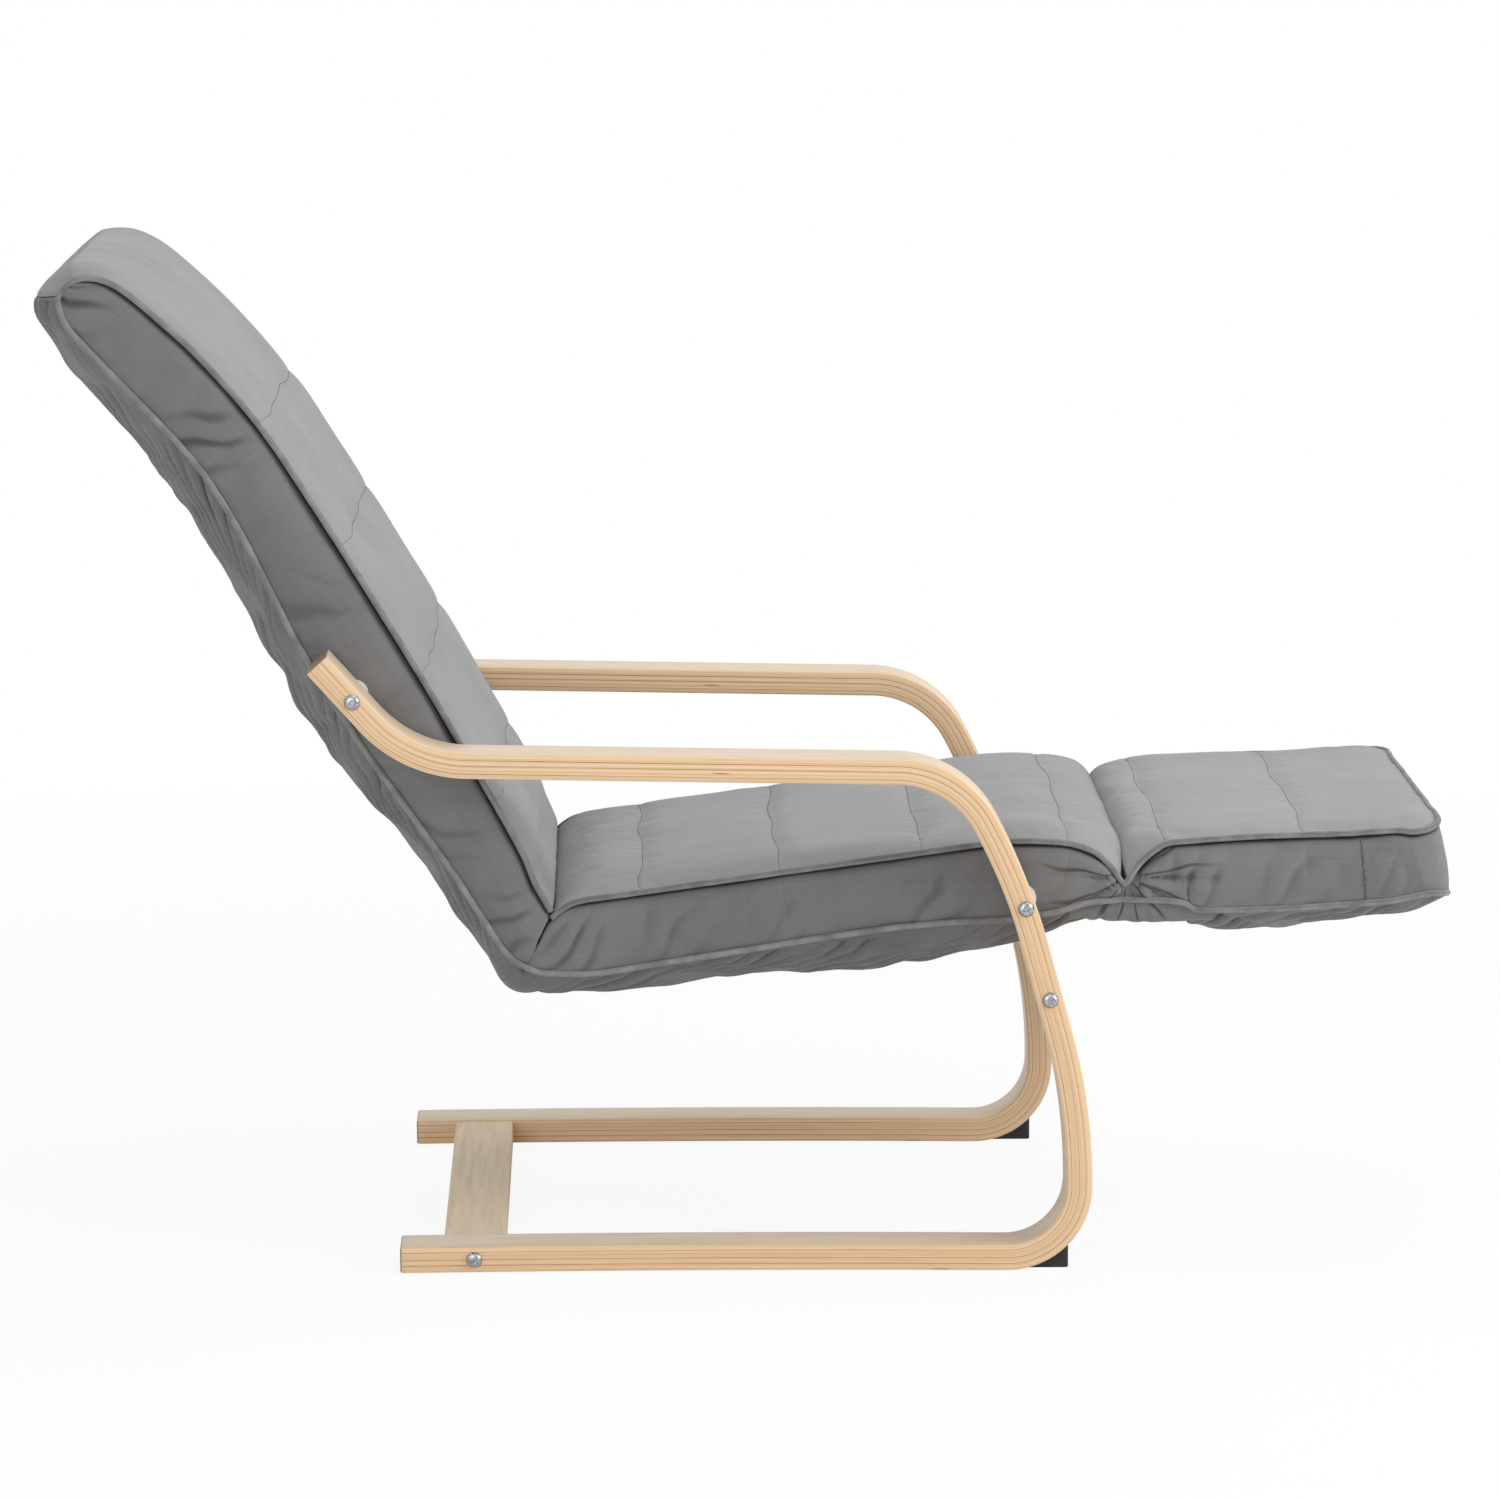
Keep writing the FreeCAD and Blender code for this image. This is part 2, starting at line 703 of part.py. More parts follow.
def seat_rail(side):
    """Side tube of the seat, from the corner tube to the hinge."""
    y = side * tube_y
    end = SEAT.length - rail_end_gap
    solid = hollow_rod(SEAT.edges(0.0, end, 0.0, y))
    solid = solid.cut(cross_cylinder(SEAT.at(0.0), tube_radius + weld_gap, 2 * tube_y))
    rivet = SEAT.at(end - tube_rivet_inset)
    solid = solid.cut(cylinder_y(rivet, tube_rivet_radius, y - 2 * tube_radius,
                                 y + 2 * tube_radius))
    return bolt_bores(solid, "seat")


def corner_tube():
    """Tube across the corner, which the rails and the back hoop are welded to."""
    return cross_tube(SEAT.at(0.0), tube_y + tube_radius)


def footrest_frame():
    """Bent tube hoop of the footrest, open at its rear ends for the hinges' tails."""
    solid = hollow_rod(hoop(FOOTREST, footrest_tube_start, FOOTREST.length, footrest_hoop_bend))
    rivet = FOOTREST.at(footrest_tube_start + tube_rivet_inset)
    for low, high in both_sides(tube_y - 2 * tube_radius, tube_y + 2 * tube_radius):
        solid = solid.cut(cylinder_y(rivet, tube_rivet_radius, low, high))
    return solid


def back_along(place):
    """Distance up the back for a place that counts from the bolt."""
    room = back_bolt_along if place < 0 else BACK.length - back_bolt_along
    return back_bolt_along + place * room


def strap(trace, along):
    """One elastic band, looped round both side tubes."""
    inner = tube_radius + strap_clearance
    outer = inner + strap_thickness
    heading = trace.heading_at(along)
    forward = Vector(math.cos(heading), 0, math.sin(heading))
    origin = trace.at(along) - forward * (strap_width / 2)
    upward = Vector(-math.sin(heading), 0, math.cos(heading))

    def loop(radius):
        left, right = Vector(0, tube_y, 0), Vector(0, -tube_y, 0)
        up, out = upward * radius, Vector(0, radius, 0)
        edges = [
            Part.LineSegment(origin + right + up, origin + left + up).toShape(),
            Part.Arc(origin + left + up, origin + left + out, origin + left - up).toShape(),
            Part.LineSegment(origin + left - up, origin + right - up).toShape(),
            Part.Arc(origin + right - up, origin + right - out, origin + right + up).toShape(),
        ]
        return Part.Face(Part.Wire(edges)).extrude(forward * strap_width)

    return loop(outer).cut(loop(inner))


def polar(centre, radius, degrees):
    angle = math.radians(degrees)
    return Vector(centre.x + radius * math.cos(angle), 0, centre.z + radius * math.sin(angle))


def ratchet_outline():
    """Rim of the ratchet disc: ramps that end in steep faces, then a plain rim."""
    root = disc_radius - tooth_depth
    edges = []
    first = tooth_face_angle - tooth_pitch_angle
    angle = first
    for _ in range(tooth_count):
        tip = polar(PIVOT, disc_radius, angle)
        foot = polar(PIVOT, root, angle + tooth_pitch_angle)
        crest = polar(PIVOT, disc_radius, angle + tooth_pitch_angle)
        edges.append(Part.LineSegment(tip, foot).toShape())
        edges.append(Part.LineSegment(foot, crest).toShape())
        angle += tooth_pitch_angle
    end = first + full_turn
    middle = (angle + end) / 2
    quarter = (angle + middle) / 2
    last = (middle + end) / 2
    edges.append(Part.Arc(polar(PIVOT, disc_radius, angle), polar(PIVOT, disc_radius, quarter),
                          polar(PIVOT, disc_radius, middle)).toShape())
    edges.append(Part.Arc(polar(PIVOT, disc_radius, middle), polar(PIVOT, disc_radius, last),
                          polar(PIVOT, disc_radius, end)).toShape())
    return Part.Wire(edges)


def ratchet_disc(side):
    """Toothed disc of the footrest's hinge, with the tail that fits in the footrest's tube."""
    y = side * tube_y
    past = disc_half + overrun
    disc = Part.Face(ratchet_outline()).extrude(Vector(0, 2 * disc_half, 0))
    disc.translate(Vector(0, y - disc_half, 0))
    reach = footrest_tube_start + socket_depth
    begin = hinge_rivet_radius + rivet_clearance
    half = disc_tail_half_height
    tail = slab([FOOTREST.at(begin, -half), FOOTREST.at(reach, -half), FOOTREST.at(reach, half),
                 FOOTREST.at(begin, half)], y - disc_half, y + disc_half)
    solid = disc.fuse(tail).removeSplitter()
    solid = solid.cut(cylinder_y(PIVOT, hinge_rivet_radius + rivet_clearance, y - past, y + past))
    rivet = FOOTREST.at(footrest_tube_start + tube_rivet_inset)
    return solid.cut(cylinder_y(rivet, tube_rivet_radius, y - past, y + past))


def pawl_pin():
    return Vector(PIVOT.x - pawl_pin_back, 0, PIVOT.z - pawl_pin_below)


def hinge_cheeks(side):
    """The two plates of a hinge, one each side of the disc, riveted into the seat rail."""
    pin = pawl_pin()
    tail_start = SEAT.length - rail_end_gap - socket_depth
    half = cheek_tail_half_height
    plates = []
    low = disc_half + cheek_gap
    for span in ((low, low + cheek_thickness), (-low - cheek_thickness, -low)):
        y_low, y_high = side * tube_y + span[0], side * tube_y + span[1]
        plate = cylinder_y(PIVOT, cheek_radius, y_low, y_high)
        plate = plate.fuse(cylinder_y(pin, pawl_boss_radius + cheek_rim, y_low, y_high))
        web = [PIVOT + Vector(0, 0, cheek_web_inset - cheek_radius), PIVOT + Vector(0, 0, half),
               Vector(pin.x - pawl_boss_radius, 0, PIVOT.z + half),
               Vector(pin.x - pawl_boss_radius, 0, pin.z), pin - Vector(0, 0, pawl_boss_radius)]
        plate = plate.fuse(slab(web, y_low, y_high))
        tail = [SEAT.at(SEAT.length, half), SEAT.at(tail_start, half),
                SEAT.at(tail_start, -half), SEAT.at(SEAT.length, -half)]
        plate = plate.fuse(slab(tail, y_low, y_high)).removeSplitter()
        plate = plate.cut(cylinder_y(PIVOT, hinge_rivet_radius, y_low - overrun, y_high + overrun))
        plate = plate.cut(cylinder_y(pin, pawl_pin_radius, y_low - overrun, y_high + overrun))
        rivet = SEAT.at(SEAT.length - rail_end_gap - tube_rivet_inset)
        plates.append(plate.cut(cylinder_y(rivet, tube_rivet_radius, y_low - overrun, y_high + overrun)))
    return plates


def headed_pin(centre, y, half, radius, head_radius, head_height):
    shank = cylinder_y(centre, radius, y - half, y + half)
    for low, high in ((-half - head_height, -half), (half, half + head_height)):
        shank = shank.fuse(cylinder_y(centre, head_radius, y + low, y + high))
    return shank.removeSplitter()


def hinge_rivets():
    """Pivot rivets, which the footrest turns on."""
    half = disc_half + cheek_gap + cheek_thickness
    return [headed_pin(PIVOT, side * tube_y, half, hinge_rivet_radius, hinge_rivet_head,
                       rivet_head_height) for _, side in SIDES]


def pawl_pins():
    half = disc_half + cheek_gap + cheek_thickness
    return [headed_pin(pawl_pin(), side * tube_y, half, pawl_pin_radius, pawl_pin_head,
                       rivet_head_height) for _, side in SIDES]


def tube_rivets(centre):
    return [headed_pin(centre, side * tube_y, tube_radius, tube_rivet_radius, tube_rivet_head,
                       rivet_head_height) for _, side in SIDES]


def pawl(side):
    """Pawl of a hinge, lifted clear of the teeth by pawl_lift_angle."""
    y = side * tube_y
    pin = pawl_pin()
    face = tooth_face_angle - math.degrees(pawl_nose_gap / disc_radius)
    nose = disc_radius - tooth_depth + pawl_nose_gap
    rim = disc_radius + pawl_nose_gap
    heel = tooth_face_angle - tooth_pitch_angle + pawl_heel_angle
    web = Vector(0, 0, pawl_boss_radius - pawl_web_inset)
    outline = [polar(PIVOT, nose, face), polar(PIVOT, rim + pawl_arm_depth, face), pin - web,
               pin + web, polar(PIVOT, rim, heel)]
    low, high = y - disc_half, y + disc_half
    if side > 0:
        high -= washer_thickness + pawl_side_gap
    else:
        low += washer_thickness + pawl_side_gap
    solid = slab(outline, low, high).fuse(cylinder_y(pin, pawl_boss_radius, low, high))
    solid = solid.removeSplitter()
    solid = solid.cut(cylinder_y(pin, pawl_pin_radius + rivet_clearance, low - overrun,
                                 high + overrun))
    solid.rotate(pin, Vector(0, 1, 0), pawl_lift_angle)
    return solid


def pawl_washers():
    """Friction washers that hold each pawl lifted or engaged."""
    pin = pawl_pin()
    found = []
    for _, side in SIDES:
        cheek = side * (tube_y + disc_half + cheek_gap)
        face = cheek - side * (washer_thickness + cheek_gap)
        disc = cylinder_y(pin, pawl_boss_radius, min(cheek, face), max(cheek, face))
        found.append(disc.cut(cylinder_y(pin, pawl_pin_radius + rivet_clearance,
                                         cheek - tube_radius, cheek + tube_radius)))
    return found


def pad_section(trace, along, piping, crown, half_width):
    """One cross section of a quilted pad: flat below, drawn-in sides, crowned top."""
    height = max(piping, PAD_REST + least_pad_side)
    tucked = half_width - side_tuck
    corners = [across(trace, along, PAD_REST, -tucked),
               across(trace, along, PAD_REST, tucked),
               across(trace, along, height, half_width),
               across(trace, along, height, -half_width)]
    middle = (PAD_REST + height) / 2
    sides = (across(trace, along, middle, tucked), across(trace, along, middle, -tucked))
    crest = across(trace, along, height + crown)
    return Part.Wire([
        Part.LineSegment(corners[0], corners[1]).toShape(),
        Part.Arc(corners[1], sides[0], corners[2]).toShape(),
        Part.Arc(corners[2], crest, corners[3]).toShape(),
        Part.Arc(corners[3], sides[1], corners[0]).toShape(),
    ])


def value_at(table, along):
    """Value of a table of (along, value) pairs, on a straight line between two of them."""
    for (a, low), (b, high) in zip(table, table[1:]):
        if along <= b:
            return low + (high - low) * (along - a) / (b - a)
    return table[-1][1]


def fitted(trace, table):
    """A table with its shares turned into distances along a tube."""
    return [(share * trace.length, value) for share, value in table]


def pad_stations(heights, seams):
    """Stations along a pad with their share of the crown's ridge, which is least at each seam."""
    begin, end = heights[0][0], heights[-1][0]
    knots = [begin] + seams + [end]
    channels = list(zip(knots, knots[1:]))

    def ridge_at(along):
        for low, high in channels:
            if along <= high:
                swell = math.sin(math.pi * (along - low) / (high - low))
                return max(swell, 0.0) ** channel_roundness
        return 0.0

    wanted = [low + share * (high - low)
              for low, high in channels for share in channel_places] + [end]
    wanted += [a for a, _ in heights if all(abs(a - w) > least_station_gap for w in wanted)]
    wanted += [a for a, _ in heights[-nose_stations:] if a not in wanted]
    return [(along, ridge_at(along)) for along in sorted(set(wanted))]


def quilted_pad(trace, heights, seams):
    """Quilted foam pad lofted through sections along a tube's line."""
    heights = fitted(trace, heights)
    seams = [share * trace.length for share in seams]
    begin, end = heights[0][0], heights[-1][0]
    middle, half_length = (begin + end) / 2, (end - begin) / 2
    sections = []
    for along, ridge in pad_stations(heights, seams):
        piping = value_at(heights, along)
        reach = abs(along - middle) / half_length
        half_width = cushion_width / 2 - side_draw * (1 - reach ** 2)
        half_width -= corner_draw * max(1 - (end - along) / corner_draw_reach, 0.0) ** 2
        crown = crown_seam + (crown_ridge - crown_seam) * ridge
        sections.append(pad_section(trace, along, piping, crown, half_width))
    return Part.makeLoft(sections, True, True)


def mitre_block(trace):
    """Everything on the far side of the mitre between the seat and the back."""
    heading = (SEAT.heading + BACK.heading) / 2
    along = Vector(math.cos(heading), 0, math.sin(heading))
    normal = Vector(math.sin(heading), 0, -math.cos(heading))
    if trace is SEAT:
        normal = normal * -1
    corner = SEAT.at(0.0) - normal * (mitre_gap / 2)
    points = [corner - along * far_away, corner + along * far_away,
              corner + along * far_away + normal * far_away,
              corner - along * far_away + normal * far_away]
    return slab(points, -far_away, far_away)


def hinge_pocket(solid):
    """Room round both hinges at the open ends of the pads."""
    inner = tube_y - hinge_pocket_half
    for low, high in both_sides(inner, cushion_width):
        solid = solid.cut(cylinder_y(PIVOT, hinge_pocket_radius, low, high))
    return solid


def back_pad():
    return quilted_pad(BACK, back_pad_heights, back_seams).cut(mitre_block(BACK))


def seat_pad():
    solid = quilted_pad(SEAT, seat_pad_heights, seat_seams)
    return hinge_pocket(solid.cut(mitre_block(SEAT)))


def footrest_pad():
    return hinge_pocket(quilted_pad(FOOTREST, footrest_pad_heights, footrest_seams))


def cover_section(trace, along, depth, inset, lift):
    """One cross section of a fabric sleeve: open towards the pad, rounded below."""
    half = cushion_width / 2 - inset
    top = PAD_REST - cover_edge_gap + lift
    low = -(depth - inset)
    corner = cover_corner * (depth - inset) / depth
    turn = corner * (1 - half_way)
    return Part.Wire([
        Part.LineSegment(across(trace, along, top, -half), across(trace, along, top, half)).toShape(),
        Part.LineSegment(across(trace, along, top, half),
                         across(trace, along, low + corner, half)).toShape(),
        Part.Arc(across(trace, along, low + corner, half),
                 across(trace, along, low + turn, half - turn),
                 across(trace, along, low, half - corner)).toShape(),
        Part.LineSegment(across(trace, along, low, half - corner),
                         across(trace, along, low, corner - half)).toShape(),
        Part.Arc(across(trace, along, low, corner - half),
                 across(trace, along, low + turn, turn - half),
                 across(trace, along, low + corner, -half)).toShape(),
        Part.LineSegment(across(trace, along, low + corner, -half),
                         across(trace, along, top, -half)).toShape(),
    ])


def sleeve(trace, depths, close_end):
    """Hollow fabric sleeve round a tube frame, closed by the pad on the sitter's side."""
    depths = fitted(trace, depths)
    outer = Part.makeLoft([cover_section(trace, a, d, 0.0, 0.0) for a, d in depths], True, True)
    first, last = depths[0], depths[-1]
    shift = -cover_wall if close_end else overrun
    room = [(first[0] - overrun, first[1])] + depths[1:-1] + [(last[0] + shift, last[1])]
    inner = [cover_section(trace, a, d, cover_wall, cover_open_lift) for a, d in room]
    return outer.cut(Part.makeLoft(inner, True, True))


def cover_bores(solid, name):
    centre = frame_bolt_centres()[name]
    for low, high in both_sides(cushion_width / 2 - 2 * cover_wall,
                                cushion_width / 2 + overrun):
        solid = solid.cut(cylinder_y(centre, bolt_radius + bolt_clearance, low, high))
    return solid


def back_cover():
    solid = sleeve(BACK, back_cover_depths, True).cut(mitre_block(BACK))
    return cover_bores(solid, "back")


def seat_cover():
    solid = sleeve(SEAT, seat_cover_depths, False).cut(mitre_block(SEAT))
    return cover_bores(solid, "seat")


def footrest_cover():
    return sleeve(FOOTREST, footrest_cover_depths, True)


def hinge_fabric():
    """Loose fabric across the hinges, from the seat's sleeve to the footrest's."""
    begin, begin_depth = fitted(SEAT, seat_cover_depths)[-1]
    end, end_depth = fitted(FOOTREST, footrest_cover_depths)[0]
    stations = ((SEAT, begin + cover_edge_gap, begin_depth), (SEAT, SEAT.length, hinge_fabric_depth),
                (FOOTREST, end - cover_edge_gap, end_depth))
    outer = [cover_section(trace, a, d, 0.0, 0.0) for trace, a, d in stations]
    inner = [cover_section(trace, a + way * overrun, d, cover_wall, cover_open_lift)
             for (trace, a, d), way in zip(stations, (-1, 0, 1))]
    return Part.makeLoft(outer, True, True).cut(Part.makeLoft(inner, True, True))


def save(name, shapes):
    """Write one node, moved to the origin under the middle of the chair."""
    shape = Part.makeCompound(shapes) if isinstance(shapes, list) else shapes
    solids = shape.Solids
    shape = solids[0] if len(solids) == 1 else Part.makeCompound(solids)
    shape.translate(Vector(-origin_x, 0, 0))
    if not shape.isValid():
        print("not valid:", name)
    shape.exportStep("parts/" + name + ".step")
    return shape


def build():
    os.makedirs("parts", exist_ok=True)
    nodes = {}
    for word, side in SIDES:
        nodes["side_frame_" + word] = screw_bores(side_frame(side), side)
        nodes["front_foot_" + word] = toe_pad(side)
        nodes["seat_rail_" + word] = seat_rail(side)
        nodes["hinge_cheeks_" + word] = hinge_cheeks(side)
        nodes["ratchet_disc_" + word] = ratchet_disc(side)
        nodes["pawl_" + word] = pawl(side)
    nodes["foot_screws"] = foot_screws()
    nodes["base_crossbar"] = base_crossbar()
    nodes["front_crossbar"] = front_crossbar()
    nodes["crossbar_dowels"] = crossbar_dowels()
    nodes["crossbar_barrel_nuts"] = crossbar_barrel_nuts()
    nodes["crossbar_bolts"] = crossbar_bolts()
    nodes["seat_bolts"] = seat_bolts()
    nodes["frame_spacers"] = frame_spacers()
    nodes["frame_inserts"] = frame_inserts()
    nodes["corner_tube"] = corner_tube()
    nodes["back_frame"] = back_frame()
    nodes["lumbar_tubes"] = [fitted_cross_tube(BACK, back_along(place))
                             for place in lumbar_tube_places]
    nodes["seat_front_tube"] = fitted_cross_tube(SEAT, seat_bolt_along + seat_front_bar_ahead)
    nodes["footrest_frame"] = footrest_frame()
    nodes["footrest_cross_tube"] = fitted_cross_tube(FOOTREST, footrest_bar_share * footrest_length)
    nodes["seat_straps"] = [strap(SEAT, place * seat_bolt_along) for place in seat_strap_places]
    nodes["back_straps"] = [strap(BACK, back_along(place)) for place in back_strap_places]
    nodes["footrest_straps"] = [strap(FOOTREST, place * footrest_length)
                                for place in footrest_strap_places]
    nodes["hinge_rivets"] = hinge_rivets()
    nodes["pawl_pins"] = pawl_pins()
    nodes["pawl_washers"] = pawl_washers()
    nodes["rail_rivets"] = tube_rivets(SEAT.at(SEAT.length - rail_end_gap - tube_rivet_inset))
    nodes["footrest_rivets"] = tube_rivets(FOOTREST.at(footrest_tube_start + tube_rivet_inset))
    nodes["back_pad"] = back_pad()
    nodes["seat_pad"] = seat_pad()
    nodes["footrest_pad"] = footrest_pad()
    nodes["back_cover"] = back_cover()
    nodes["seat_cover"] = seat_cover()
    nodes["footrest_cover"] = footrest_cover()
    nodes["hinge_fabric"] = hinge_fabric()
    shapes = [save(name, shape) for name, shape in nodes.items()]
    box = Part.makeCompound(shapes).optimalBoundingBox(True, False)
    print("nodes", len(shapes), "box X %.1f %.1f Y %.1f %.1f Z %.1f %.1f" % (
        box.XMin, box.XMax, box.YMin, box.YMax, box.ZMin, box.ZMax))
    print("pivot", PIVOT.x - origin_x, PIVOT.z, "pawl pin", pawl_pin().x - origin_x, pawl_pin().z)
    print("seat pitch", PITCH, "arm", arm_run(), "corner", unit_corner())


build()
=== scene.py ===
import json
import math

import bpy
import numpy as np
from mathutils import Euler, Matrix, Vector, noise


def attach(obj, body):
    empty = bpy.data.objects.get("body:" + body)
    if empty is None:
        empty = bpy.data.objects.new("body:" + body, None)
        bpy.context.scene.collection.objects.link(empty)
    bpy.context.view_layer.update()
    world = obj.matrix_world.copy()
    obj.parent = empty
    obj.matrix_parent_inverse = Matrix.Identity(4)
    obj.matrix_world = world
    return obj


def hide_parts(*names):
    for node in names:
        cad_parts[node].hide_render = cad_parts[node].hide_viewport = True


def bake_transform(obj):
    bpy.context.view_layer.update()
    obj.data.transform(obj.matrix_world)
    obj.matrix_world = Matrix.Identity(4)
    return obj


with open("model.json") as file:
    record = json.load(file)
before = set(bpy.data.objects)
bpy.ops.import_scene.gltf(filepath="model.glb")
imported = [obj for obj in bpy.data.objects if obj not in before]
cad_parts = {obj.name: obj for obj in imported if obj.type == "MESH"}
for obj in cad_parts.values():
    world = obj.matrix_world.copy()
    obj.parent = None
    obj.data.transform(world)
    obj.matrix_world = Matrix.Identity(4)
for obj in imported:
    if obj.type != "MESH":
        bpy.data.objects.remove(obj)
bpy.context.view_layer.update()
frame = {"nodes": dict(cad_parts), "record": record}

# Sizes in millimetres, in the side view that starts at the rear end of the base rails.
# X points to the sitter's feet, Y to the sitter's left, and Z up.
MM = 0.001
ORIGIN_X = 349.8

# Bentwood side frames: lines and arcs as (radius or 0, length or turn in degrees)
FRAME_THICKNESS = 26.0
FRAME_WIDTH = 60.0
FRAME_INNER_Y = 275.0
FRAME_EDGE = 2.5
FRAME_STEP, BEND_STEP = 9.0, 3.5
BASE_LIFT = 0.3
BASE_LENGTH = 607.0
BASE_BOW = 1.26
LEG_AND_ARM = ((72.0, 90.63), (584.0, 15.5), (0.0, 89.5), (600.0, 12.9), (102.0, 60.6),
               (0.0, 425.98), (134.0, -47.0), (0.0, 77.0))

# Lines of the steel seat unit, which the upholstery follows
CORNER = (127.994, 300.012)
SEAT_HEADING = 7.9005
SEAT_LINE = ((0.0, 469.85), (600.0, -8.0), (0.0, 71.174))
BACK_HEADING = 121.6005
BACK_LINE = ((0.0, 559.86), (500.0, 10.4), (0.0, 149.18))
FOOTREST_HEADING = 3.5005
FOOTREST_LINE = ((0.0, 320.0),)

# Upholstery
HALF_WIDTH = 265.0
PIPING_RADIUS = 3.2
CELL = 7.5
EDGE_COLUMNS = (0.0, 2.5, 6.0, 11.0, 17.0, 24.0)
BOXING_ROWS, GIRTH_OF_BOXING = 8, 90.0
GROOVE_DROP, GROOVE_DEPTH = 3.4, 15.0
LIP_DROP, LIP_OUT = 7.5, 1.2
REAR_TUCK, REAR_TUCK_DEPTH = 4.5, 1.0
BOXING_BULGE = 3.5
SEAM_REACH, SEAM_DEPTH = 3.0, 1.3
SEAM_WANDER, WANDER_ACROSS, WANDER_ALONG = 9.0, 130.0, 260.0
DOME_REACH, DOME_POWER = 55.0, 2.4
SAG_REACH, SAG_POWER = 45.0, 2.2
END_REACH, CORNER_REACH = 60.0, 110.0
FAR_CORNER, NEAR_CORNER, CORNER_LEAN = 1.1, 0.2, 7.0
MITRE_REACH, MITRE_ANGLE, MITRE_GAP, MITRE_OVERLAP = 90.0, 56.85, 2.4, 0.8
NOTCH = (731.0, 388.0)
SEAT_STOP, FOOTREST_BEGIN, BAND_STOP = 600.0, -16.0, 24.0
FILLING = {"quality": 6, "mass": 0.2, "tension_stiffness": 20.0, "compression_stiffness": 14.0,
           "shear_stiffness": 5.0, "bending_stiffness": 0.3, "air_damping": 1.0, "use_pressure": True,
           "uniform_pressure_force": 1.6, "shrink_min": -0.008, "shrink_max": -0.055}
FILLING_STEPS = 20
MOST_SWELL = {"sleeve": 16.0, "boxing": 3.5, "panel": 2.2}


class Trace:
    """A path of tangent lines and arcs in the side view."""

    def __init__(self, x, z, heading, runs):
        self.steps = []
        self.length = 0.0
        here = (x, z, math.radians(heading))
        for radius, amount in runs:
            length = radius * abs(math.radians(amount)) if radius else amount
            bend = math.copysign(1.0 / radius, amount) if radius else 0.0
            self.steps.append((self.length, bend, here))
            self.length += length
            here = self.walk(self.length)

    def walk(self, along):
        begin, bend, (x, z, heading) = next(
            (s for s in reversed(self.steps) if s[0] <= along), self.steps[0])
        run = along - begin
        if bend == 0.0:
            return x + run * math.cos(heading), z + run * math.sin(heading), heading
        turned = heading + run * bend
        x += (math.sin(turned) - math.sin(heading)) / bend
        z += (math.cos(heading) - math.cos(turned)) / bend
        return x, z, turned

    def at(self, along, left, y):
        """A point in metres, in the row frame."""
        x, z, heading = self.walk(along)
        return Vector((x - left * math.sin(heading) - ORIGIN_X, y, z + left * math.cos(heading))) * MM


FRAME = Trace(0.0, BASE_LIFT + FRAME_THICKNESS / 2, BASE_BOW / 2,
              ((BASE_LENGTH / math.radians(BASE_BOW), -BASE_BOW),) + LEG_AND_ARM)
SEAT = Trace(*CORNER, SEAT_HEADING, SEAT_LINE)
BACK = Trace(*CORNER, BACK_HEADING, BACK_LINE)
PIVOT_X, PIVOT_Z, _ = SEAT.walk(SEAT.length)
FOOTREST = Trace(PIVOT_X, PIVOT_Z, FOOTREST_HEADING, FOOTREST_LINE)

